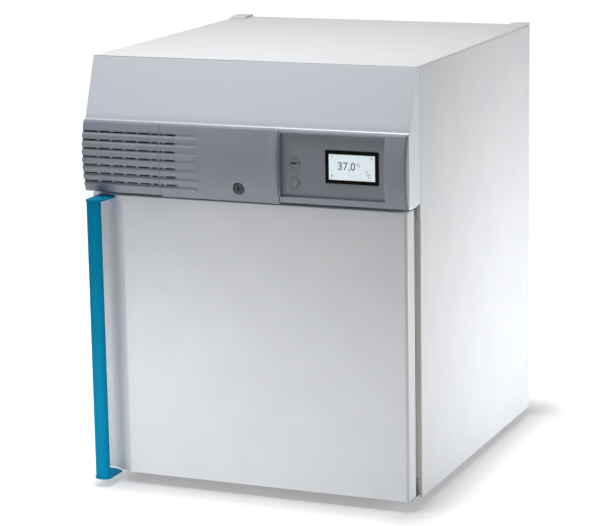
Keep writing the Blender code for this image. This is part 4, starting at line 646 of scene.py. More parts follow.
def lathe(profile, centre, axis, sides=48):
    """Points at (r cos a, r sin a) round an axis through a centre, for each radius and distance."""
    profile = np.asarray(profile)
    angle = np.linspace(0, 2 * np.pi, sides + 1)
    radius = profile[:, :1]
    along = np.repeat(profile[:, 1:2], sides + 1, axis=1)
    first, second = radius * np.cos(angle), radius * np.sin(angle)
    order = {"X": (along, first, second), "Y": (first, along, second), "Z": (first, second, along)}
    return np.stack(order[axis], axis=-1) + np.asarray(centre)


def turned(name, profile, centre, axis, body, finish, stands_for=(), sides=48):
    """A turned solid: its profile starts and ends on the axis, so its poles close."""
    from_grids(name, [lathe(profile, centre, axis, sides)], [], body, finish, stands_for)


def rod_grid(path, radius, sides):
    """A circle carried along a path, kept square to it by turning one frame from point to point."""
    ahead = np.gradient(path, axis=0)
    ahead /= np.linalg.norm(ahead, axis=1, keepdims=True)
    guide = np.array([0.0, 0.0, 1.0]) if abs(ahead[0, 2]) < 0.9 else np.array([0.0, 1.0, 0.0])
    normals = []
    for direction in ahead:
        guide = guide - direction * np.dot(guide, direction)
        guide = guide / np.linalg.norm(guide)
        normals.append(guide)
    normal = np.stack(normals)
    other = np.cross(ahead, normal)
    angle = np.linspace(0, 2 * np.pi, sides + 1)[None, :, None]
    return path[:, None] + radius * (np.cos(angle) * normal[:, None] + np.sin(angle) * other[:, None])


# %% [markdown]
# A slotted moulding is a face and a back, two depths over one grid of places with rows and columns.
# Cells that are kept have both faces, and every edge between a kept cell and an open one gets a wall, so
# the holes are real and the whole stays one closed shell.

# %% Slotted mouldings


def perforated(name, across, up, face, back, kept, body, finish, stands_for):
    """Close a face and a back over the kept cells, with a wall wherever a kept cell ends."""
    rows, columns = face.shape
    index = np.arange(rows * columns).reshape(rows, columns)
    behind = index + rows * columns
    cells = grid_faces(rows, columns).reshape(rows - 1, columns - 1, 4)[kept]
    faces = [cells, cells[:, ::-1] + rows * columns]
    padded = np.pad(kept, 1)
    level = padded[1:, 1:-1] != padded[:-1, 1:-1]
    upright = padded[1:-1, 1:] != padded[1:-1, :-1]
    start, end = index[:, :-1][level], index[:, 1:][level]
    faces.append(np.stack([start, end, behind[:, 1:][level], behind[:, :-1][level]], axis=-1))
    start, end = index[:-1][upright], index[1:][upright]
    faces.append(np.stack([start, end, behind[1:][upright], behind[:-1][upright]], axis=-1))
    points = np.concatenate([PLACES["front"](across, up, deep).reshape(-1, 3) for deep in (face, back)])
    used = np.unique(np.concatenate([group.ravel() for group in faces]))
    number = np.full(len(points), -1)
    number[used] = np.arange(len(used))
    faces = number[np.concatenate(faces)].tolist()
    make_piece(name, points[used], faces, body, finish, stands_for)


def lines_between(stops, step):
    """Grid lines through every stop, with even ones between them no further apart than a step."""
    stops = np.unique(np.round(stops, 7))
    lines = [stops[:1]]
    for low, high in zip(stops[:-1], stops[1:]):
        count = max(1, math.ceil((high - low) / step))
        lines.append(np.linspace(low, high, count + 1)[1:])
    return np.concatenate(lines)


def round_hole(across, up, centre, radius, reach):
    """Bend a square of grid lines round a hole, so that the square's rim becomes a circle.

    With s the larger and c the straight distance to the centre, a point at s = radius moves by s / c,
    and the move fades to nothing at s = reach.
    """
    a, b = across - centre[0], up - centre[1]
    square = np.maximum(np.abs(a), np.abs(b))
    straight = np.hypot(a, b)
    fade = np.clip((reach - square) / (reach - radius), 0, 1)
    pull = 1 + fade * (square / np.maximum(straight, 1e-9) - 1)
    return centre[0] + a * pull, centre[1] + b * pull


def within(values, low, high):
    """Which cells between neighbouring grid lines lie between two limits."""
    middle = (values[:-1] + values[1:]) / 2
    return (middle > low) & (middle < high)


# %% [markdown]
# ## The header band
# Under the sloping hood runs a convex moulded band in three pieces: a louvred air intake, a cover with
# the door lock, and the bezel round the controls. Seen from the side its face is an arc of a circle.
# The arc's chord and place come from the frame's boxes, so the new pieces sit where the plain ones do.

# %% The band's arc
BAND_LOW, BAND_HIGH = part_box("louvre_panel")
COVER_LOW, COVER_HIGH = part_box("cover_panel")
BEZEL_LOW, BEZEL_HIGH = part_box("control_bezel")
BAND_BULGE = 0.0115
BAND_EDGE_Y = BAND_LOW.y + BAND_BULGE
BAND_BACK_Y = BAND_HIGH.y
BAND_HALF = (BAND_HIGH.z - BAND_LOW.z) / 2
BAND_MIDDLE = (BAND_HIGH.z + BAND_LOW.z) / 2
BAND_RADIUS = (BAND_HALF**2 + BAND_BULGE**2) / (2 * BAND_BULGE)
MOULD_WALL = 0.0048
SIDE_RIM, LONG_RIM = 0.0025, 0.006
SEAM_EDGE, SEAM_FALL = 0.0006, 0.0004
COLUMN_STEP, HEIGHT_STEP = 0.012, 0.004
THIN_RIM = 0.0008
# A tenth of a millimetre: what keeps two parts of one piece apart, and the margin for comparing places.
SLIVER = 0.0001
TOP_ROUND = 0.005
TOP_LINES = BAND_HIGH.z - TOP_ROUND * (1 - np.sin(np.linspace(0, np.pi / 2, 7)))


def fillet_fall(gap, radius):
    """How far a face falls back near an edge: radius less the root of radius squared less overlap squared."""
    over = np.clip(radius - gap, 0, radius)
    return radius - np.sqrt(np.maximum(radius**2 - over**2, 0))


def band_face(up):
    """Y of the band's face: a circle's arc, radius less the square root of radius squared less z squared.

    Its upper edge is rounded with a quarter circle, which catches the light from above.
    """
    away = np.minimum(np.abs(up - BAND_MIDDLE), BAND_HALF)
    arc = BAND_RADIUS - np.sqrt(BAND_RADIUS**2 - away**2)
    return BAND_LOW.y + arc + fillet_fall(np.maximum(BAND_HIGH.z - up, 0), TOP_ROUND)


print("the band bulges", 1000 * BAND_BULGE, "mm on an arc of", round(BAND_RADIUS, 3), "m")

# %% [markdown]
# The louvre has seven grooves. Each has an overhanging upper lip, a flat floor in which the slots are
# cut, and a ledge that slopes out at 45 degrees, stands a little proud and catches the light. Between
# two grooves the face leans back like a roof board. The profile is given as depths at heights, and both
# pieces that carry it read the same one, so that it runs across their seam.

# %% Groove profile and slots
TOP_ROW = BAND_HIGH.z - 0.0222
ROW_PITCH = 0.0172
ROWS = 7
GROOVE = 0.0028
HALF_SLOT = 0.0015
LIP = 0.00165
EDGE_ROUND = 0.0004
LEDGE_PROUD = 0.0018
LINE_GAP = 0.0006
FIRST_SLOT = (BAND_LOW.x + 0.003, BAND_LOW.x + 0.0334)
SLOT_PITCH = 0.0298
SLOT_LENGTH = 0.0240
SLOT_FIELD_END = BAND_LOW.x + 0.210
SLOT_COLUMNS = 9
GROOVE_END = BAND_LOW.x + 0.260
ROW_HEIGHTS = TOP_ROW - ROW_PITCH * np.arange(ROWS)


def groove_stops():
    """Heights and depths of one groove, from its upper lip down to the crest of its ledge."""
    e, g, p = EDGE_ROUND, GROOVE, LEDGE_PROUD
    return np.array(
        [
            (LIP + e, 0.0),
            (LIP + 0.3 * e, 0.3 * e),
            (LIP, e),
            (LIP, g - 0.3 * e),
            (LIP - 0.3 * e, g),
            (HALF_SLOT - 0.3 * e, g),
            (-HALF_SLOT, g),
            (-LIP, g),
            (-LIP - 0.5 * e, g - 0.2 * e),
            (-LIP - g - p + e, e - p),
            (-LIP - g - p + 0.2 * e, 0.25 * e - p),
            (-LIP - g - p - 0.8 * e, -p),
        ]
    )


def band_lines(extra=()):
    """Heights of the band's grid lines and the groove depth at each, from the bottom up.

    Between two grooves the depth runs in a straight line from a ledge's crest to the next lip.
    """
    stops = groove_stops()
    heights = (ROW_HEIGHTS[:, None] + stops[None, :, 0]).ravel()
    depths = np.tile(stops[:, 1], ROWS)
    order = np.argsort(heights[::-1], kind="stable")
    heights, depths = heights[::-1][order], depths[::-1][order]
    wanted = np.concatenate([np.arange(BAND_LOW.z, BAND_HIGH.z, HEIGHT_STEP), TOP_LINES, extra])
    gap = np.abs(wanted[:, None] - heights[None, :]).min(axis=1)
    wanted = np.unique(wanted[(gap > LINE_GAP) | (wanted >= BAND_HIGH.z)])
    filled = np.interp(wanted, [BAND_LOW.z, *heights], [0.0, *depths])
    every, deep = np.concatenate([heights, wanted]), np.concatenate([depths, filled])
    order = np.argsort(every, kind="stable")
    return every[order], deep[order]


def slot_columns(left, right):
    """Left and right ends of the slots that lie between two limits, cut short where they cross one."""
    starts = FIRST_SLOT[1] + SLOT_PITCH - SLOT_LENGTH + SLOT_PITCH * np.arange(SLOT_COLUMNS)
    starts = starts[starts + 2 * HALF_SLOT < SLOT_FIELD_END]
    spans = [FIRST_SLOT] + [(start, min(start + SLOT_LENGTH, SLOT_FIELD_END)) for start in starts]
    cut = [(max(a, left), min(b, right)) for a, b in spans]
    return [(a, b) for a, b in cut if b - a > 2 * HALF_SLOT]


print("rows of slots:", ROWS, "and columns:", len(slot_columns(-1, 1)))

# %% [markdown]
# Both louvred pieces are one function of x and height: the arc, plus the groove depth where the grooves
# run, fading out over the last two millimetres, minus whatever stands proud. The back follows the face
# at a moulded wall's thickness and comes down to a flat rim.

# %% A louvred length of the band


def slots_kept(columns, heights, depths, spans):
    """Every cell but those of the slots, which lie on a groove's floor within a slot's span."""
    middle = (heights[:-1] + heights[1:]) / 2
    near = np.abs(middle[:, None] - ROW_HEIGHTS[None, :]).min(axis=1) < HALF_SLOT - SLIVER
    on_floor = near & (np.minimum(depths[:-1], depths[1:]) > 0.9 * GROOVE)
    slotted = np.zeros(len(columns) - 1, dtype=bool)
    for left, right in spans:
        slotted |= within(columns, left, right)
    return ~(on_floor[:, None] & slotted[None, :])


def rim_back(across, up, face, low, high):
    """Back of a moulding: a wall's thickness behind its face, and flush with the hood along its rim."""
    inner = (across > low + SIDE_RIM) & (across < high - SIDE_RIM)
    inner &= (up > BAND_LOW.z + LONG_RIM) & (up < BAND_HIGH.z - LONG_RIM)
    return np.where(inner, np.minimum(face + MOULD_WALL, BAND_BACK_Y), BAND_BACK_Y)


END_ROUND = 0.003
SEAM_BRIDGE = 0.004
spans = slot_columns(BAND_LOW.x, BAND_HIGH.x - SEAM_BRIDGE)
round_steps = BAND_LOW.x + END_ROUND * (1 - np.cos(np.linspace(0, np.pi / 2, 6)))
stops = [BAND_HIGH.x, BAND_HIGH.x - SEAM_EDGE, *round_steps, *np.ravel(spans)]
columns = lines_between(stops, COLUMN_STEP)
heights, depths = band_lines()
across, up = np.meshgrid(columns, heights)
face = band_face(up) + depths[:, None] + fillet_fall(across - BAND_LOW.x, END_ROUND)
face = np.minimum(face, BAND_BACK_Y - THIN_RIM)
face += SEAM_FALL * (across > BAND_HIGH.x - SEAM_EDGE / 2)
back = rim_back(across, up, band_face(up), BAND_LOW.x, BAND_HIGH.x)
kept = slots_kept(columns, heights, depths, spans)
perforated("louvre_moulding", across, up, face, back, kept, "cabinet", grey_band, ["louvre_panel"])

# %% [markdown]
# The cover carries the ends of the grooves, which get shallow past the last slot, a round seat for the
# lock, a lip along its lower edge and a proud strip beside the controls. The strip's left edge rises in
# a steep smooth slope, which reads as a bright rib, and it ends above and below in a small peak.

# %% Cover with its rib and lock seat
RIB_STRIP = 0.0118
RIB_RISE = 0.0036
RIB_WALL = 0.0055
PEAK_HALF = 0.005
PEAK_REACH, PEAK_DROP = 0.002, 0.0005
SHALLOW = 0.25
GROOVE_FADE, SHALLOW_FADE = 0.002, 0.006
RIB_PROUD = BAND_LOW.y - COVER_LOW.y
LIP_DROP = 0.003
LIP_HEIGHTS, LIP_DEPTHS = np.array([0.0005, 0.0009]), np.array([0.0009, 0.0005])
COVER_BRIDGE = 0.002
LOCK_LOW, LOCK_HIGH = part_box("lock_body")
LOCK_CENTRE = front_centre(LOCK_LOW, LOCK_HIGH)
LOCK_PLAY = 0.0003
LOCK_SEAT_RADIUS = (LOCK_HIGH.x - LOCK_LOW.x) / 2 + LOCK_PLAY

spans = slot_columns(COVER_LOW.x + COVER_BRIDGE, GROOVE_END)
crest_start = COVER_HIGH.x - RIB_STRIP
rib_start = crest_start - RIB_RISE
hole = LOCK_SEAT_RADIUS * np.linspace(-1, 1, 13)
reach = 2 * LOCK_SEAT_RADIUS * np.array([-1, -0.75, 0.75, 1])
stops = [COVER_LOW.x, COVER_LOW.x + SEAM_EDGE, GROOVE_END - GROOVE_FADE, GROOVE_END]
stops += [SLOT_FIELD_END, SLOT_FIELD_END + SHALLOW_FADE, rib_start, crest_start, crest_start + PEAK_HALF]
stops += [COVER_HIGH.x - SEAM_EDGE, COVER_HIGH.x, *np.ravel(spans)]
stops += (LOCK_CENTRE[0] + np.concatenate([hole, reach])).tolist()
stops += np.linspace(rib_start, crest_start, 8).tolist()
columns = lines_between(stops, COLUMN_STEP)
heights, depths = band_lines((LOCK_CENTRE[1] + np.concatenate([hole, reach])).tolist())
heights = np.concatenate([COVER_LOW.z + LIP_HEIGHTS, heights])
depths = np.concatenate([LIP_DEPTHS, depths])
across, up = np.meshgrid(columns, heights)
run = np.clip((across - rib_start) / (crest_start - rib_start), 0, 1)
proud = RIB_PROUD * run**2 * (3 - 2 * run)
grooved = np.clip((GROOVE_END - across) / GROOVE_FADE, 0, 1)
full = np.clip((SLOT_FIELD_END + SHALLOW_FADE - across) / SHALLOW_FADE, 0, 1)
deep = SHALLOW + (1 - SHALLOW) * full
grooved = np.where(depths[:, None] > 0, grooved * deep, grooved)
in_band = up > BAND_LOW.z - SLIVER
face = band_face(up) + np.where(in_band, grooved, 1) * depths[:, None] - proud
seam = (across < COVER_LOW.x + SEAM_EDGE / 2) | (across > COVER_HIGH.x - SEAM_EDGE / 2)
face += SEAM_FALL * seam
back = rim_back(across, up, band_face(up), COVER_LOW.x, COVER_HIGH.x - RIB_WALL)
back = np.where(in_band, back, BAND_EDGE_Y + LIP_DROP)
lift = np.clip((up - BAND_HIGH.z + PEAK_REACH) / PEAK_REACH, 0, 1) * (COVER_HIGH.z - BAND_HIGH.z)
drop = np.clip((BAND_LOW.z - up) / LIP_DROP, 0, 1) * PEAK_DROP
bent_x, bent_z = round_hole(across, up, LOCK_CENTRE, LOCK_SEAT_RADIUS, 2 * LOCK_SEAT_RADIUS)
peak = np.clip(1 - np.abs(across - crest_start) / PEAK_HALF, 0, 1)
bent_z = bent_z + peak * (lift - drop)
kept = slots_kept(columns, heights, depths, spans)
in_hole = within(columns, LOCK_CENTRE[0] - LOCK_SEAT_RADIUS, LOCK_CENTRE[0] + LOCK_SEAT_RADIUS)
level_hole = within(heights, LOCK_CENTRE[1] - LOCK_SEAT_RADIUS, LOCK_CENTRE[1] + LOCK_SEAT_RADIUS)
kept &= ~(level_hole[:, None] & in_hole[None, :])
perforated("lock_cover", bent_x, bent_z, face, back, kept, "cabinet", grey_band, ["cover_panel"])

# %% [markdown]
# The bezel closes the band on the right. It is a frame round the recess of the controls, with a wide
# cheek whose outer corner is rounded like the end of the band. The rim of the recess has a small fillet,
# worked out from each point's distance to the opening.

# %% Bezel round the controls
BEZEL_ROUND = 0.006
PLATE_LOW, PLATE_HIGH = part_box("control_panel")
PLATE_GAP = 0.0003
BEZEL_EDGE = 0.0005
FILLET = 0.0008

left, right = PLATE_LOW.x - PLATE_GAP, PLATE_HIGH.x + PLATE_GAP
bottom, top = PLATE_LOW.z - PLATE_GAP, PLATE_HIGH.z + PLATE_GAP
near = FILLET * np.array([0, 0.1, 0.35, 0.7, 1])
turn = np.sin(np.linspace(0, np.pi / 2, 8))
stops = [BEZEL_LOW.x, BEZEL_LOW.x + BEZEL_EDGE, BEZEL_HIGH.x, *(left - near), *(right + near)]
stops += (BEZEL_HIGH.x - BEZEL_ROUND * (1 - turn)).tolist()
columns = lines_between(stops, COLUMN_STEP)
heights = lines_between([BAND_LOW.z, *TOP_LINES, *(bottom - near), *(top + near)], HEIGHT_STEP)
across, up = np.meshgrid(columns, heights)
gap_x = np.maximum(np.maximum(left - across, across - right), 0)
gap_z = np.maximum(np.maximum(bottom - up, up - top), 0)
face = band_face(up) + fillet_fall(BEZEL_HIGH.x - across, BEZEL_ROUND)
face += fillet_fall(np.hypot(gap_x, gap_z), FILLET)
face = np.minimum(face, BAND_BACK_Y - THIN_RIM)
face += SEAM_FALL * (across < BEZEL_LOW.x + SEAM_EDGE / 2)
back = np.full_like(up, BAND_BACK_Y)
kept = ~(within(heights, bottom, top)[:, None] & within(columns, left, right)[None, :])
perforated("bezel_moulding", across, up, face, back, kept, "cabinet", grey_band, ["control_bezel"])

# %% [markdown]
# ## The controls
# On the dark plate sit a display in a black housing, a push button in a round collar and a round
# service socket. The housing, the socket's face and the lock's rotor are each a solid with a well: an
# outer and an inner outline with the same number of points, joined over the front with rounded rims, and
# the inner one led down to a floor.

# %% Solids with a well


def well(outer, inner, front, back, floor, rim, plane, steps=3):
    """The grid of a solid with a well down to a floor, from its back over its front, and its two caps."""
    inward, onward = rim_steps(rim, steps)
    levels = front + np.sign(back - front) * onward
    rings = [(outer, 0, back)]
    rings += [(outer, inset, level) for inset, level in zip(inward[::-1], levels[::-1])]
    rings += [(inner, -inset, level) for inset, level in zip(inward, levels)]
    rings += [(inner, 0, floor)]
    grid = np.stack([ring_at(*ring, plane) for ring in rings])
    return grid, ends(grid)


def angles_round(outline, centre):
    """The angle of each point of an outline round a centre."""
    return np.arctan2(outline[:, 1] - centre[1], outline[:, 0] - centre[0])


def finer(outline, centre, step=np.radians(7.5)):
    """The outline with its long edges divided, so that none spans more than a step round the centre."""
    angle = angles_round(outline, centre)
    span = np.abs((np.roll(angle, -1) - angle + np.pi) % (2 * np.pi) - np.pi)
    pieces = np.maximum(1, np.ceil(span / step)).astype(int)
    start = np.repeat(outline, pieces, axis=0)
    end = np.repeat(np.roll(outline, -1, axis=0), pieces, axis=0)
    share = np.concatenate([np.arange(count) / count for count in pieces])[:, None]
    return start + share * (end - start)


def same_angles(inner, radius, centre):
    """A circle whose points lie at the same angles round a centre as the points of another outline."""
    angle = angles_round(inner, centre)
    return np.stack([centre[0] + radius * np.cos(angle), centre[1] + radius * np.sin(angle)], axis=1)


dressed("control_panel", "cabinet", dark_plate, 0.25)
print("the plate is", round(1000 * (PLATE_HIGH.x - PLATE_LOW.x), 1), "mm wide")

# %% Display housing and screen
FRAME_LOW, FRAME_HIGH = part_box("display_frame")
GLASS_LOW, GLASS_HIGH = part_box("display_glass")
SCREEN_GAP = 0.0003
SCREEN_FLOOR = GLASS_HIGH.y + SCREEN_GAP
FLANGE_BACK = PLATE_LOW.y - SCREEN_GAP
FLANGE_WIDTH = 0.0033
PANE_FRONT = GLASS_LOW.y + 0.0003
HOUSING_CORNER, HOUSING_RIM = 0.0022, 0.0006
CORE_CORNER, CORE_RIM = 0.001, 0.0005
OPENING_CORNER, PANE_CORNER = 0.0008, 0.0006

outer = box_outline(FRAME_LOW, FRAME_HIGH, HOUSING_CORNER)
inner = box_outline(GLASS_LOW, GLASS_HIGH, OPENING_CORNER, -SCREEN_GAP)
grid, caps = well(outer, inner, FRAME_LOW.y, FLANGE_BACK, SCREEN_FLOOR, HOUSING_RIM, "front")
core = box_outline(FRAME_LOW, FRAME_HIGH, CORE_CORNER, FLANGE_WIDTH)
core_grid = block_rings(core, FLANGE_BACK, FRAME_HIGH.y, 0, CORE_RIM, "front", 1)
caps += ends(core_grid)
from_grids("display_housing", [grid, core_grid], caps, "cabinet", black_acrylic, ["display_frame"])

pane = box_outline(GLASS_LOW, GLASS_HIGH, PANE_CORNER)
front, back, rims = PANE_FRONT, GLASS_HIGH.y, (SLIVER, 0)
block("screen_pane", pane, front, back, rims, "front", "cabinet", screen_light, ["display_glass"])

# %% [markdown]
# The screen shows one number in the middle, a unit beside it and a few plain marks in the corners. The
# number is set as text, made a thin mesh and laid just in front of the pane.

# %% Number and marks on the screen
INK_FRONT = GLASS_LOW.y + 0.00015
INK_BACK = GLASS_LOW.y + 0.0004
SCREEN_WIDTH = GLASS_HIGH.x - GLASS_LOW.x
SCREEN_HEIGHT = GLASS_HIGH.z - GLASS_LOW.z
NUMBER_SIZE, UNIT_SIZE, UNIT_GAP = 0.0225, 0.0085, 0.0015


def on_screen(across, up):
    """A place on the screen from shares of its width and height, counted from its lower left corner."""
    return GLASS_LOW.x + across * SCREEN_WIDTH, GLASS_LOW.z + up * SCREEN_HEIGHT


def read_curve(curve):
    """Points and faces that a curve draws, as an array and a list."""
    holder = bpy.data.objects.new("curve_holder", curve)
    bpy.context.scene.collection.objects.link(holder)
    drawn = holder.evaluated_get(bpy.context.evaluated_depsgraph_get())
    mesh = drawn.to_mesh()
    flat = np.empty(3 * len(mesh.vertices))
    mesh.vertices.foreach_get("co", flat)
    faces = [list(face.vertices) for face in mesh.polygons]
    drawn.to_mesh_clear()
    bpy.data.objects.remove(holder)
    return flat.reshape(-1, 3), faces


def screen_text(name, words, size, left, low):
    """Text as a thin mesh whose lower left corner lies at a place on the screen."""
    curve = bpy.data.curves.new(name, "FONT")
    curve.body = words
    curve.size = size
    curve.extrude = (INK_BACK - INK_FRONT) / 2
    curve.resolution_u = 4
    points, faces = read_curve(curve)
    across, up, deep = points.T
    points = PLACES["front"](across - across.min() + left, up + low, INK_BACK - deep - curve.extrude)
    make_piece(name, points, faces, "cabinet", screen_ink)
    return points[:, 0].max()


text_left, text_low = on_screen(0.20, 0.40)
text_right = screen_text("screen_number", "37,0", NUMBER_SIZE, text_left, text_low)
unit_low = on_screen(0, 0.56)[1]
screen_text("screen_unit", "\u00b0C", UNIT_SIZE, text_right + UNIT_GAP, unit_low)

# Each mark's place on the screen as shares, then its width and height in metres.
MARKS = [(0.07, 0.92, 0.0050, 0.0016), (0.93, 0.90, 0.0040, 0.0040), (0.82, 0.36, 0.0034, 0.0030)]
MARKS += [(0.86, 0.25, 0.0080, 0.0014), (0.88, 0.15, 0.0060, 0.0014), (0.07, 0.16, 0.0030, 0.0060)]
for number, (across, up, width, tall) in enumerate(MARKS):
    mark = centred_outline(on_screen(across, up), width / 2, tall / 2, min(width, tall) / 3)
    name = "screen_mark_" + str(number)
    block(name, mark, INK_FRONT, INK_BACK, (0, 0), "front", "cabinet", screen_faint, steps=1)

# %% [markdown]
# The push button is a turned cap with a shallow dish, and travels in its collar. The service socket has
# the same collar, but its face holds a flat well with a contact tongue.

# %% Button, collar and socket
RING_LOW, RING_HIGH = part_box("power_button_ring")
CAP_LOW, CAP_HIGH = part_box("power_button")
SOCKET_LOW, SOCKET_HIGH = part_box("service_socket")
KNOB_X, BUTTON_Z = front_centre(RING_LOW, RING_HIGH)
SOCKET_Z = front_centre(SOCKET_LOW, SOCKET_HIGH)[1]
COLLAR_RADIUS = (RING_HIGH.x - RING_LOW.x) / 2
CAP_RADIUS = (CAP_HIGH.x - CAP_LOW.x) / 2
BARREL_RADIUS = COLLAR_RADIUS - 0.001
COLLAR_SEAT, CAP_PLAY = 0.0003, 0.0003
COLLAR_DOME, COLLAR_LIP = 0.0014, 0.0003
CAP_ROUND, DISH = 0.0012, 0.0008


def collar_profile(inner):
    """Radius and depth round a collar: its barrel, flange, domed front and bore, as a closed line."""
    front, seat, back = RING_LOW.y, PLATE_LOW.y - COLLAR_SEAT, RING_HIGH.y
    inward, onward = rim_steps(COLLAR_DOME)
    dome = np.column_stack([COLLAR_RADIUS - onward, front + inward])
    inward, onward = rim_steps(COLLAR_LIP)
    lip = np.column_stack([inner + inward, front + onward])
    start = [(BARREL_RADIUS, back), (BARREL_RADIUS, seat), (COLLAR_RADIUS, seat)]
    return np.concatenate([start, dome, lip, [(inner, back), (BARREL_RADIUS, back)]])


button_place = (KNOB_X, 0, BUTTON_Z)
profile = collar_profile(CAP_RADIUS + CAP_PLAY)
turned("button_collar", profile, button_place, "Y", "cabinet", ring_grey, ["power_button_ring"])

share = np.linspace(0, 1, 8)
dish = np.column_stack([share * (CAP_RADIUS - CAP_ROUND), CAP_LOW.y + DISH * (1 - share**2)])
inward, onward = rim_steps(CAP_ROUND)
rim = np.column_stack([CAP_RADIUS - inward, CAP_LOW.y + onward])[1:]
profile = np.concatenate([dish, rim, [(CAP_RADIUS, CAP_HIGH.y), (0, CAP_HIGH.y)]])
turned("push_cap", profile, button_place, "Y", "button", ring_grey, ["power_button"])

# The socket's face has a slot with a tongue in it, and its housing shows behind the plate.
SLOT_HALF_WIDTH, SLOT_HALF_HEIGHT, SLOT_CORNER = 0.0061, 0.0023, 0.0006
SOCKET_SETBACK, SOCKET_WALL, SOCKET_RIM = 0.0009, 0.0009, 0.0003
FACE_PLAY, BORE_PLAY = 0.0003, 0.0002
TONGUE_HALF_WIDTH, TONGUE_HALF_HEIGHT, TONGUE_RISE = 0.0051, 0.0006, 0.0004
centre = (KNOB_X, SOCKET_Z)
slot = finer(centred_outline(centre, SLOT_HALF_WIDTH, SLOT_HALF_HEIGHT, SLOT_CORNER), centre)
round_face = same_angles(slot, BARREL_RADIUS - FACE_PLAY, centre)
front, back = RING_LOW.y + SOCKET_SETBACK, RING_HIGH.y
grid, caps = well(round_face, slot, front, back, back - 0.001, SOCKET_RIM, "front")
middle = (KNOB_X, SOCKET_Z + TONGUE_RISE)
tongue = centred_outline(middle, TONGUE_HALF_WIDTH, TONGUE_HALF_HEIGHT, TONGUE_HALF_HEIGHT / 2)
tongue_grid = block_rings(tongue, PLATE_LOW.y, back - 0.0012, 0.0002, 0, "front", 2)
collar = lathe(collar_profile(BARREL_RADIUS - BORE_PLAY), (KNOB_X, 0, SOCKET_Z), "Y")
half_width, half_height = SLOT_HALF_WIDTH + SOCKET_WALL, SLOT_HALF_HEIGHT + SOCKET_WALL
housing = centred_outline(centre, half_width, half_height, SLOT_CORNER)
housing_grid = block_rings(housing, back + SLIVER, SOCKET_HIGH.y, 0, 0.0004, "front", 2)
grids = [grid, collar, tongue_grid, housing_grid]
caps += ends(tongue_grid) + ends(housing_grid)
from_grids("socket_body", grids, caps, "cabinet", ring_grey, ["service_socket"])

# %% [markdown]
# The lock is a nickel-plated cylinder. Its collar is a closed profile turned round, with a small
# chamfer. The rotor is a disc with a narrow keyway, and behind the cover it carries the cam that turns
# into the door's top edge.

# %% Lock collar and rotor
ROTOR_LOW, ROTOR_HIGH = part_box("lock_rotor")
COLLAR_OUT = (LOCK_HIGH.x - LOCK_LOW.x) / 2
BODY_RADIUS = COLLAR_OUT - 0.0015
ROTOR_RADIUS = LOCK_CENTRE[0] - ROTOR_LOW.x
FLANGE_BACK_Y = BAND_EDGE_Y - 0.003
BORE = ROTOR_RADIUS + LOCK_PLAY
COLLAR_CHAMFER, BORE_LIP = 0.0018, 0.0004

# The barrel from its back, the flange with a soft chamfer round its rim, and the bore with a small lip.
chamfer = COLLAR_CHAMFER * np.array([(0, 1), (-1 / 6, 2 / 3), (-7 / 9, 1 / 9), (-1, 0)])
lip = BORE_LIP * np.array([(1, 0), (1 / 4, 1 / 4), (0, 1)])
barrel = [(BODY_RADIUS, LOCK_HIGH.y), (BODY_RADIUS, FLANGE_BACK_Y), (COLLAR_OUT, FLANGE_BACK_Y)]
front = LOCK_LOW.y
profile = [*barrel, *(chamfer + (COLLAR_OUT, front)), *(lip + (BORE, front)), (BORE, LOCK_HIGH.y), barrel[0]]
lock_place = (LOCK_CENTRE[0], 0, LOCK_CENTRE[1])
turned("lock_collar", profile, lock_place, "Y", "cabinet", dull_nickel, ["lock_body"])

KEYWAY_HALF_WIDTH, KEYWAY_HALF_HEIGHT, KEYWAY_CORNER, KEYWAY_DEPTH = 0.0013, 0.0046, 0.0008, 0.008
CAM_HALF, CAM_CORNER, CAM_SHEET = 0.005, 0.0047, 0.004
ROTOR_RIM = 0.0004
CAM_BACK_Y = ROTOR_HIGH.y
CAM_FRONT_Y = CAM_BACK_Y - CAM_SHEET
keyway = centred_outline(LOCK_CENTRE, KEYWAY_HALF_WIDTH, KEYWAY_HALF_HEIGHT, KEYWAY_CORNER)
keyway = finer(keyway, LOCK_CENTRE)
disc = same_angles(keyway, ROTOR_RADIUS, LOCK_CENTRE)
front = ROTOR_LOW.y
grid, caps = well(disc, keyway, front, CAM_FRONT_Y, front + KEYWAY_DEPTH, ROTOR_RIM, "front")
x, z = LOCK_CENTRE
arm = round_rectangle(x - CAM_HALF, ROTOR_HIGH.x, z - CAM_HALF, z + CAM_HALF, CAM_CORNER, 8)
arm_grid = block_rings(arm, CAM_FRONT_Y + SLIVER, CAM_BACK_Y, ROTOR_RIM, ROTOR_RIM, "front", 2)
from_grids("lock_core", [grid, arm_grid], caps + ends(arm_grid), "lock", dull_nickel, ["lock_rotor"])

# %% [markdown]
# ## The handle
# The grip is an aluminium section that runs down the door's left edge, carried by an end plate at each
# end. Its front is half an ellipse, so that the tone turns softly across it, and its back is flat. The
# plates are cut to the same curve a little further out, and run back to the slanted recess.

# %% Grip bar
BAR_LOW, BAR_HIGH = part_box("handle_bar")
CROWN = 0.0105
BAR_CORNER = 0.0006
PLATE_SPREAD = 0.007
PLATE_PROUD, PLATE_ROUND = 0.0015, 0.0005


def arc_between(start, corner, end, steps=5):
    """A curve through two tangent points round a corner: the quadratic with the corner as its handle."""
    t = np.linspace(0, 1, steps)[:, None]
    return (1 - t) ** 2 * np.asarray(start) + 2 * t * (1 - t) * np.asarray(corner) + t**2 * np.asarray(end)


def crowned_front(low, high, crown):
    """Half an ellipse from left to right: middle plus half times cos t, and crown times 1 less sin t."""
    t = np.linspace(np.pi, 0, 29)
    middle, half = (low.x + high.x) / 2, (high.x - low.x) / 2
    return np.stack([middle + half * np.cos(t), low.y + crown * (1 - np.sin(t))], axis=1)


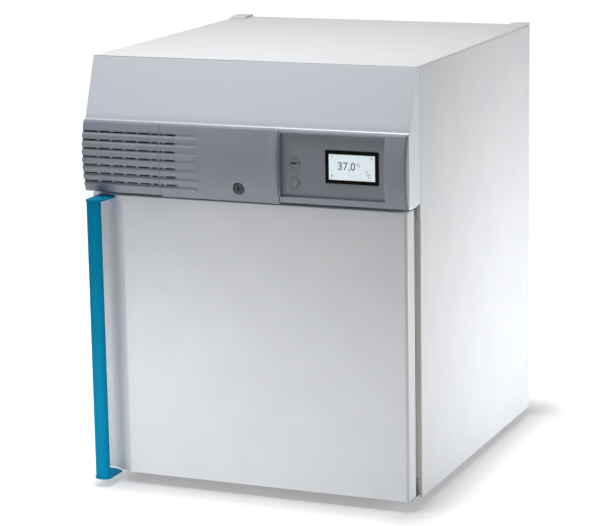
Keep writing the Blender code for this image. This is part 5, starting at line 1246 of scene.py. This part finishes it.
def grip_section(low, high, crown, corner):
    """The bar's plan: the crowned front and a flat back with small corners."""
    back_right = arc_between((high.x, high.y - corner), (high.x, high.y), (high.x - corner, high.y))
    back_left = arc_between((low.x + corner, high.y), (low.x, high.y), (low.x, high.y - corner))
    return np.concatenate([crowned_front(low, high, crown), back_right, back_left])


section = grip_section(BAR_LOW, BAR_HIGH, CROWN, BAR_CORNER)
levels = np.linspace(BAR_LOW.z, BAR_HIGH.z, 25)
grid = rings_round(section, [(0, level) for level in levels], "top")
from_grids("grip_bar", [grid], ends(grid), "door", teal_lacquer, ["handle_bar"])

# %% End plates
DOOR_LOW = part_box("door_shell")[0]
RECESS_FACE = DOOR_LOW.x + 0.079
RECESS_FLOOR = DOOR_LOW.x + 0.033
RECESS_DEPTH = 0.022
SEAT_GAP = 0.0006


def end_plate(end, spread):
    """A plate from the crowned front back to the recess, whose slanted corner follows the recess's slant."""
    low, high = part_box("handle_end_" + end)
    right = high.x + spread
    slope = RECESS_DEPTH / (RECESS_FACE - RECESS_FLOOR)
    slant_y = DOOR_LOW.y + (RECESS_FACE - right) * slope - 2 * SEAT_GAP
    floor_x = RECESS_FLOOR - 2 * SEAT_GAP
    sides = [(right, slant_y), (floor_x, high.y), (low.x, high.y)]
    outline = np.concatenate([crowned_front(low, high, CROWN + PLATE_PROUD), sides])
    rims, stands_for = (PLATE_ROUND, PLATE_ROUND), ["handle_end_" + end]
    block("grip_plate_" + end, outline, low.z, high.z, rims, "top", "door", teal_lacquer, stands_for)


end_plate("top", PLATE_SPREAD)
end_plate("bottom", 0.0)

# %% [markdown]
# ## Sheet metal
# The housing, hood, door skin and inner panel are folded or moulded pieces whose forms are final. They
# get softened edges: half a millimetre on folded sheet, a little more on the moulded hood. The door
# skin keeps a sharper crease angle, so that the slant of its recess stays flat.

# %% Housing, hood and door
dressed("outer_housing", "cabinet", white_coat, 0.5)
dressed("header_fascia", "cabinet", silver_hood, 0.8, 3)
dressed("door_shell", "door", white_coat, 0.6, crease=18.0)
dressed("door_inner_panel", "door", white_coat, 0.5)
dressed("front_frame", "cabinet", white_coat, 0.3)
for side in ("left", "right"):
    dressed("stacking_lug_" + side, "cabinet", white_coat, 0.6)
dressed("base_plate", "cabinet", zinc_plate, 0.3)
for end in ("upper", "lower"):
    dressed("hinge_bracket_" + end, "cabinet", zinc_plate, 0.4)

# %% [markdown]
# ## Cut sheets
# Shelves, the baffle and the rear panel are sheets with many slots. Each is drawn as flat outlines, one
# round the sheet and one round every slot, filled between them and given the sheet's thickness. A slot
# with half-round ends is a rounded rectangle whose radius is half its height.

# %% Sheets with rounded slots
# A sheet ends a hair inside the wall that is bent round it, so that the two shells share no points.
HAIR = 2e-5


def cut_sheet(outer, holes, low, high, plane):
    """Points and faces of a sheet between two levels, filled between its outline and its holes."""
    curve = bpy.data.curves.new("sheet", "CURVE")
    curve.dimensions = "2D"
    curve.fill_mode = "BOTH"
    curve.extrude = (high - low) / 2
    for outline in [outer, *holes]:
        line = curve.splines.new("POLY")
        line.points.add(len(outline) - 1)
        flat = np.column_stack([outline, np.zeros(len(outline)), np.ones(len(outline))])
        line.points.foreach_set("co", flat.ravel())
        line.use_cyclic_u = True
    points, faces = read_curve(curve)
    return PLACES[plane](points[:, 0], points[:, 1], points[:, 2] + (low + high) / 2), faces


def slot_outline(left, right, bottom, top):
    """A slot with half-round ends, without the doubled points where its short straight sides vanish."""
    outline = round_rectangle(left, right, bottom, top, min(top - bottom, right - left) / 2, 4)
    step = np.linalg.norm(np.roll(outline, -1, axis=0) - outline, axis=1)
    return outline[step > HAIR]


def screw(place, radius, height):
    """A screw's head towards the back: a low dome on a flat seat, with a socket in its middle."""
    turn = np.linspace(0, np.pi / 2, 4)
    socket = [(0, 0.45 * height), (0.35 * radius, 0.45 * height), (0.38 * radius, height)]
    dome = [(radius * (0.55 + 0.45 * math.sin(t)), height * (0.25 + 0.75 * math.cos(t))) for t in turn]
    profile = np.array([*socket, *dome, (radius, 0), (0, 0)])
    return open_grid(lathe(profile, place, "Y", 20))


# %% [markdown]
# ## Inside the chamber
# The liner is one brushed shell with wide corners, open at the front. Its outline is carried from the
# mouth to the back, turned in by a fillet, closed by the rear wall and led through the hole for the fan's
# shaft to the outside.

# %% Chamber liner
LINER_LOW, LINER_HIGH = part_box("chamber_liner")
LINER_SHEET = 0.001
LINER_CORNER = 0.012
REAR_FILLET = 0.004
SHAFT_HOLE = 0.006
CHAMBER_CENTRE = (0.0, (LINER_LOW.z + LINER_HIGH.z) / 2)

outer = box_outline(LINER_LOW, LINER_HIGH, LINER_CORNER + LINER_SHEET, steps=8)
outer = finer(outer, CHAMBER_CENTRE)
hole = same_angles(outer, SHAFT_HOLE, CHAMBER_CENTRE)
rear_y = LINER_HIGH.y - LINER_SHEET
skin = rings_round(outer, [(0, LINER_LOW.y), (0, LINER_HIGH.y)], "front")
shaft_hole = rings_round(hole, [(0, LINER_HIGH.y), (0, rear_y)], "front")
inward, onward = rim_steps(REAR_FILLET, 5)
fillet = zip(LINER_SHEET + inward, rear_y - onward)
space = rings_round(outer, [*fillet, (LINER_SHEET, LINER_LOW.y), (0, LINER_LOW.y)], "front")
shell = np.concatenate([skin, shaft_hole, space])
from_grids("brushed_liner", [shell], [], "cabinet", stainless, ["chamber_liner"])

# %% [markdown]
# The baffle is a shallow tray turned towards the rear wall. Its face has an intake of slots inside a
# circle before the fan, and a row of outlets down each side. The width of each intake slot follows from
# the circle: twice the square root of its radius squared less the slot's height squared.

# %% Rear baffle
BAFFLE_LOW, BAFFLE_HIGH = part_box("rear_baffle")
WHEEL_LOW, WHEEL_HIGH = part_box("fan_wheel")
INTAKE_RADIUS = (WHEEL_HIGH.x - WHEEL_LOW.x) / 2
INTAKE_PITCH = 0.011
INTAKE_ROWS = 9
AIR_SLOT = 0.0036
OUTLET_ROWS, OUTLET_PITCH, OUTLET_LENGTH, OUTLET_EDGE = 8, 0.046, 0.030, 0.012
BAFFLE_SHEET, BAFFLE_CORNER, BAFFLE_BEND = 0.001, 0.003, 0.0016
middle = (BAFFLE_LOW.z + BAFFLE_HIGH.z) / 2
holes = []
for row in range(INTAKE_ROWS):
    rise = INTAKE_PITCH * (row - (INTAKE_ROWS - 1) / 2)
    wide = math.sqrt(INTAKE_RADIUS**2 - rise**2) - AIR_SLOT
    up = middle + rise
    holes.append(slot_outline(-wide, wide, up - AIR_SLOT / 2, up + AIR_SLOT / 2))
for row in range(OUTLET_ROWS):
    up = middle + OUTLET_PITCH * (row - (OUTLET_ROWS - 1) / 2)
    for left in (BAFFLE_LOW.x + OUTLET_EDGE, BAFFLE_HIGH.x - OUTLET_EDGE - OUTLET_LENGTH):
        holes.append(slot_outline(left, left + OUTLET_LENGTH, up - AIR_SLOT / 2, up + AIR_SLOT / 2))
outer = box_outline(BAFFLE_LOW, BAFFLE_HIGH, BAFFLE_CORNER, steps=4)
front, bend = BAFFLE_LOW.y, BAFFLE_BEND
sheet = cut_sheet(shrink(outer, bend + HAIR), holes, front, front + BAFFLE_SHEET, "front")
inward, onward = rim_steps(bend)
rings = [*zip(inward, front + onward), (0, BAFFLE_HIGH.y), (BAFFLE_SHEET, BAFFLE_HIGH.y)]
rings += [(BAFFLE_SHEET, front + bend), (bend, front + BAFFLE_SHEET), (bend, front)]
tray = [sheet, open_grid(rings_round(outer, rings, "front"))]
gather("brushed_baffle", tray, "cabinet", stainless, ["rear_baffle"])

# %% [markdown]
# Each shelf is a slotted sheet with a turned-up edge all round, a low tray that slides on a pair of rails.

# %% Shelves
SHELF_SHEET = 0.0012
SHELF_BORDER, SHELF_WEB, SHELF_SLOT = 0.020, 0.020, 0.007
SHELF_COLUMNS, SHELF_ROWS = 7, 10
SHELF_CORNER, SHELF_FOOT, SHELF_RIM = 0.004, 0.0018, 0.0004


def slotted_shelf(node):
    """A shelf: its slotted floor, and a wall with a rounded foot and rim."""
    low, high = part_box(node)
    across = np.linspace(low.x + SHELF_BORDER, high.x - SHELF_BORDER, SHELF_COLUMNS + 1)
    along = np.linspace(low.y + SHELF_BORDER, high.y - SHELF_BORDER, SHELF_ROWS + 1)
    holes = []
    for left, right in zip(across[:-1] + SHELF_WEB / 2, across[1:] - SHELF_WEB / 2):
        for y in (along[:-1] + along[1:]) / 2:
            holes.append(slot_outline(left, right, y - SHELF_SLOT / 2, y + SHELF_SLOT / 2))
    outline = round_rectangle(low.x, high.x, low.y, high.y, SHELF_CORNER, 5)
    foot, rim = SHELF_FOOT, SHELF_RIM
    sheet = cut_sheet(shrink(outline, foot + HAIR), holes, low.z, low.z + SHELF_SHEET, "top")
    inward, onward = rim_steps(foot)
    steps = [*zip(inward, low.z + onward), (0, high.z - rim), (rim, high.z), (SHELF_SHEET - rim, high.z)]
    steps += [(SHELF_SHEET, high.z - rim), (SHELF_SHEET, low.z + foot + rim / 2)]
    steps += [(foot, low.z + SHELF_SHEET), (foot, low.z)]
    wall = open_grid(rings_round(outline, steps, "top"))
    gather("slotted_" + node, [sheet, wall], "cabinet", stainless, [node])


slotted_shelf("shelf_lower")
slotted_shelf("shelf_upper")
dressed("shelf_rack_left", "cabinet", stainless, 0.8)
dressed("shelf_rack_right", "cabinet", stainless, 0.8)

# %% [markdown]
# The ring heater is a tube bent round the fan, with both ends turned back through quarter bends to the
# rear wall. The probe is a turned rod with a rounded tip in a collar. The fan wheel keeps its blades and
# gets rounded edges.

# %% Heater
HEATER_LOW, HEATER_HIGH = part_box("ring_heater")
TUBE, BEND = 0.004, 0.006
HEATER_GAP = math.radians(9)
heater_middle = front_centre(*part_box("fan_motor"))[1]
heater_radius = heater_middle - HEATER_LOW.z - TUBE
ring_y = HEATER_LOW.y + TUBE


def on_ring(angle):
    """Places on the heater's ring at angles from its top: its middle plus radius times (sin, cos)."""
    across, up = heater_radius * np.sin(angle), heater_middle + heater_radius * np.cos(angle)
    return PLACES["front"](across, up, np.full(np.shape(angle), ring_y))


def quarter(side, last):
    """The bend from a leg on the rear wall to the ring's last place on one side of the gap."""
    corner = on_ring(side * HEATER_GAP)
    return arc_between(corner + (0, BEND, 0), corner, last, 7)


def leg_foot(bend):
    """Where the leg that ends in a bend leaves the rear wall."""
    return [(bend[0, 0], HEATER_HIGH.y, bend[0, 2])]


tight = HEATER_GAP + BEND / heater_radius
ring = on_ring(np.linspace(tight, 2 * np.pi - tight, 90))
first, last = quarter(1, ring[0]), quarter(-1, ring[-1])
path = np.concatenate([leg_foot(first), first[:-1], ring, last[::-1][1:], leg_foot(last)])
grid = rod_grid(path, TUBE, 14)
from_grids("heater_tube", [grid], ends(grid), "cabinet", heater_alloy, ["ring_heater"])

# %% Probe and fan
PROBE_LOW, PROBE_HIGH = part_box("temperature_probe")
PROBE_RADIUS, NUT_CHAMFER = 0.0025, 0.0006
NUT_RADIUS = (PROBE_HIGH.x - PROBE_LOW.x) / 2
back, nut = PROBE_HIGH.y, PROBE_HIGH.y - 0.003
inward, onward = rim_steps(PROBE_RADIUS, 5)
profile = [*zip(PROBE_RADIUS - inward, PROBE_LOW.y + onward), (PROBE_RADIUS, nut)]
profile += [(NUT_RADIUS - NUT_CHAMFER, nut), (NUT_RADIUS, nut + NUT_CHAMFER), (NUT_RADIUS, back), (0, back)]
x, z = front_centre(PROBE_LOW, PROBE_HIGH)
turned("probe_rod", profile, (x, 0, z), "Y", "cabinet", pin_metal, ["temperature_probe"], 32)
dressed("fan_wheel", "fan", stainless, 0.15)
dressed("fan_motor", "cabinet", zinc_plate, 0.8)

# %% [markdown]
# ## Seal, feet and fixings
# The seal is a soft hoop with a rounded face and a groove round its middle, so it reads as a bellows. The
# feet are turned rubber, and the hinge pins are turned steel with domed ends.

# %% Door seal
SEAL_LOW, SEAL_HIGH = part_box("door_gasket")
SEAL_WIDTH, SEAL_CORNER = 0.016, 0.006
SEAL_FOLD, SEAL_CROWN = 0.0016, 0.0012
outline = box_outline(SEAL_LOW, SEAL_HIGH, SEAL_CORNER)
inner = box_outline(SEAL_LOW, SEAL_HIGH, SEAL_CORNER / 2, SEAL_WIDTH)
deep = SEAL_HIGH.y - SEAL_LOW.y
share = np.linspace(0, 1, 13)
crest = SEAL_HIGH.y - SEAL_CROWN * (2 * share - 1) ** 8
fold = SEAL_LOW.y + deep * np.array([0.3, 0.45, 0.5, 0.55, 0.7])
bellows = [(0, SEAL_LOW.y), (SEAL_FOLD / 4, fold[0]), (SEAL_FOLD, fold[1]), (SEAL_FOLD, fold[3])]
bellows += [(SEAL_FOLD / 4, fold[4]), *zip(SEAL_WIDTH * share, crest)]
bellows += [(SEAL_WIDTH - SEAL_FOLD, fold[2]), (SEAL_WIDTH, SEAL_LOW.y), (0, SEAL_LOW.y)]
rings = [ring_at(outline + (inner - outline) * inset / SEAL_WIDTH, 0, y, "front") for inset, y in bellows]
from_grids("soft_seal", [np.stack(rings)], [], "door", seal_vinyl, ["door_gasket"])

# %% Feet and hinge pins
PIN_DOME = 0.001
FOOT_HOLLOW, FOOT_TAPER, FOOT_BAND, FOOT_EDGE = 0.0006, 0.003, 0.003, 0.0005


def upright(node):
    """Foot and head of an upright node, its radius, and its centre on the floor."""
    low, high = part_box(node)
    return low.z, high.z, (high.x - low.x) / 2, ((low.x + high.x) / 2, (low.y + high.y) / 2, 0)


# A foot has a hollow middle, a flat ring to stand on, a side that tapers and an upright band at its head.
for corner in ("front_left", "front_right", "rear_left", "rear_right"):
    node = "foot_" + corner
    _, top, radius, centre = upright(node)
    toe, band = radius - FOOT_TAPER, top - FOOT_BAND
    profile = [(0, FOOT_HOLLOW), (0.35 * radius, FOOT_HOLLOW), (0.38 * radius, 0), (toe - 0.0022, 0)]
    profile += [(toe - 0.0006, FOOT_EDGE), (toe, 0.0018), (radius - 0.0006, band - 0.0006), (radius, band)]
    profile += [(radius, top - FOOT_EDGE), (radius - FOOT_EDGE, top), (0, top)]
    turned("turned_" + node, profile, centre, "Z", "cabinet", black_rubber, [node])
for end in ("upper", "lower"):
    bottom, top, radius, centre = upright("hinge_pin_" + end)
    profile = [(0, bottom), (radius - PIN_DOME, bottom), (radius, bottom + PIN_DOME)]
    profile += [(radius, top - PIN_DOME), (radius - PIN_DOME, top), (0, top)]
    turned("turned_pin_" + end, profile, centre, "Z", "cabinet", pin_metal, ["hinge_pin_" + end], 32)

# %% [markdown]
# ## The back
# The rear panel has two fields of vent slots and a keyed hole for the mains inlet, and low screws hold
# its edges. The inlet is a moulded body with a keyed well and three flat pins.

# %% Rear panel and its screws
PANEL_LOW, PANEL_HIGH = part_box("rear_panel")
INLET_LOW, INLET_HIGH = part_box("mains_inlet")
INLET_CENTRE = front_centre(INLET_LOW, INLET_HIGH)
VENT_X, VENT_LENGTH, VENT_HEIGHT, VENT_PITCH, VENT_ROWS = 0.215, 0.110, 0.0034, 0.014, 6
VENT_DROP = 0.1111
INLET_HOLE_HALF_WIDTH, INLET_HOLE_HALF_HEIGHT, INLET_HOLE_CORNER = 0.0143, 0.0118, 0.001
PANEL_CORNER = 0.002
holes = []
for middle in (-VENT_X, VENT_X):
    for row in range(VENT_ROWS):
        up = PANEL_HIGH.z - VENT_DROP + VENT_PITCH * row
        holes.append(slot_outline(middle - VENT_LENGTH / 2, middle + VENT_LENGTH / 2, up, up + VENT_HEIGHT))
half_width, half_height = INLET_HOLE_HALF_WIDTH, INLET_HOLE_HALF_HEIGHT
holes.append(centred_outline(INLET_CENTRE, half_width, half_height, INLET_HOLE_CORNER, 3))
outer = box_outline(PANEL_LOW, PANEL_HIGH, PANEL_CORNER, steps=3)
sheet = cut_sheet(outer, holes, PANEL_LOW.y, PANEL_HIGH.y, "front")
gather("slotted_rear_panel", [sheet], "cabinet", white_coat, ["rear_panel"])
SCREW_RADIUS, SCREW_HEIGHT = 0.0032, 0.0010
SCREW_INSET, SCREW_END, SCREW_ROWS = 0.020, 0.030, 5
heads = []
for up in np.linspace(PANEL_LOW.z + SCREW_END, PANEL_HIGH.z - SCREW_END, SCREW_ROWS):
    for across in (PANEL_LOW.x + SCREW_INSET, PANEL_HIGH.x - SCREW_INSET):
        heads.append(screw((across, PANEL_HIGH.y, up), SCREW_RADIUS, SCREW_HEIGHT))
gather("rear_panel_screws", heads, "cabinet", zinc_plate)

# %% Mains inlet
WELL_HALF_WIDTH, WELL_HALF_HEIGHT, WELL_KEY, WELL_WALL, WELL_DEPTH = 0.012, 0.0082, 0.004, 0.0011, 0.015
WELL_RIM, FLANGE_CORNER = 0.0003, 0.003
PIN_HALF_WIDTH, PIN_HALF_HEIGHT, PIN_CORNER, PIN_TIP, PIN_SHORT = 0.001, 0.002, 0.0004, 0.0005, 0.001
w, h, k = WELL_HALF_WIDTH, WELL_HALF_HEIGHT, WELL_KEY
face = INLET_HIGH.y
well_floor = face - WELL_DEPTH
keyed = np.array([(w, h), (-w, h), (-w, k - h), (k - w, -h), (w - k, -h), (w, k - h)]) + INLET_CENTRE
outside = shrink(keyed, -WELL_WALL)
flange = box_outline(INLET_LOW, INLET_HIGH, FLANGE_CORNER)
sheet = cut_sheet(flange, [shrink(outside, -HAIR)], PANEL_HIGH.y + SLIVER, face, "front")
grid, caps = well(outside, keyed, face, INLET_LOW.y, well_floor, WELL_RIM, "front")
parts = [sheet, open_grid(grid), *map(flat_cap, caps)]
gather("keyed_inlet", parts, "cabinet", inlet_plastic, ["mains_inlet"])
grids, caps = [], []
for place in ((-0.007, -0.002), (0.0, 0.002), (0.007, -0.002)):
    pin = centred_outline(INLET_CENTRE + place, PIN_HALF_WIDTH, PIN_HALF_HEIGHT, PIN_CORNER, 3)
    grids.append(block_rings(pin, well_floor, face - PIN_SHORT, 0, PIN_TIP, "front", 2))
    caps += ends(grids[-1])
from_grids("inlet_pins", grids, caps, "cabinet", pin_metal)
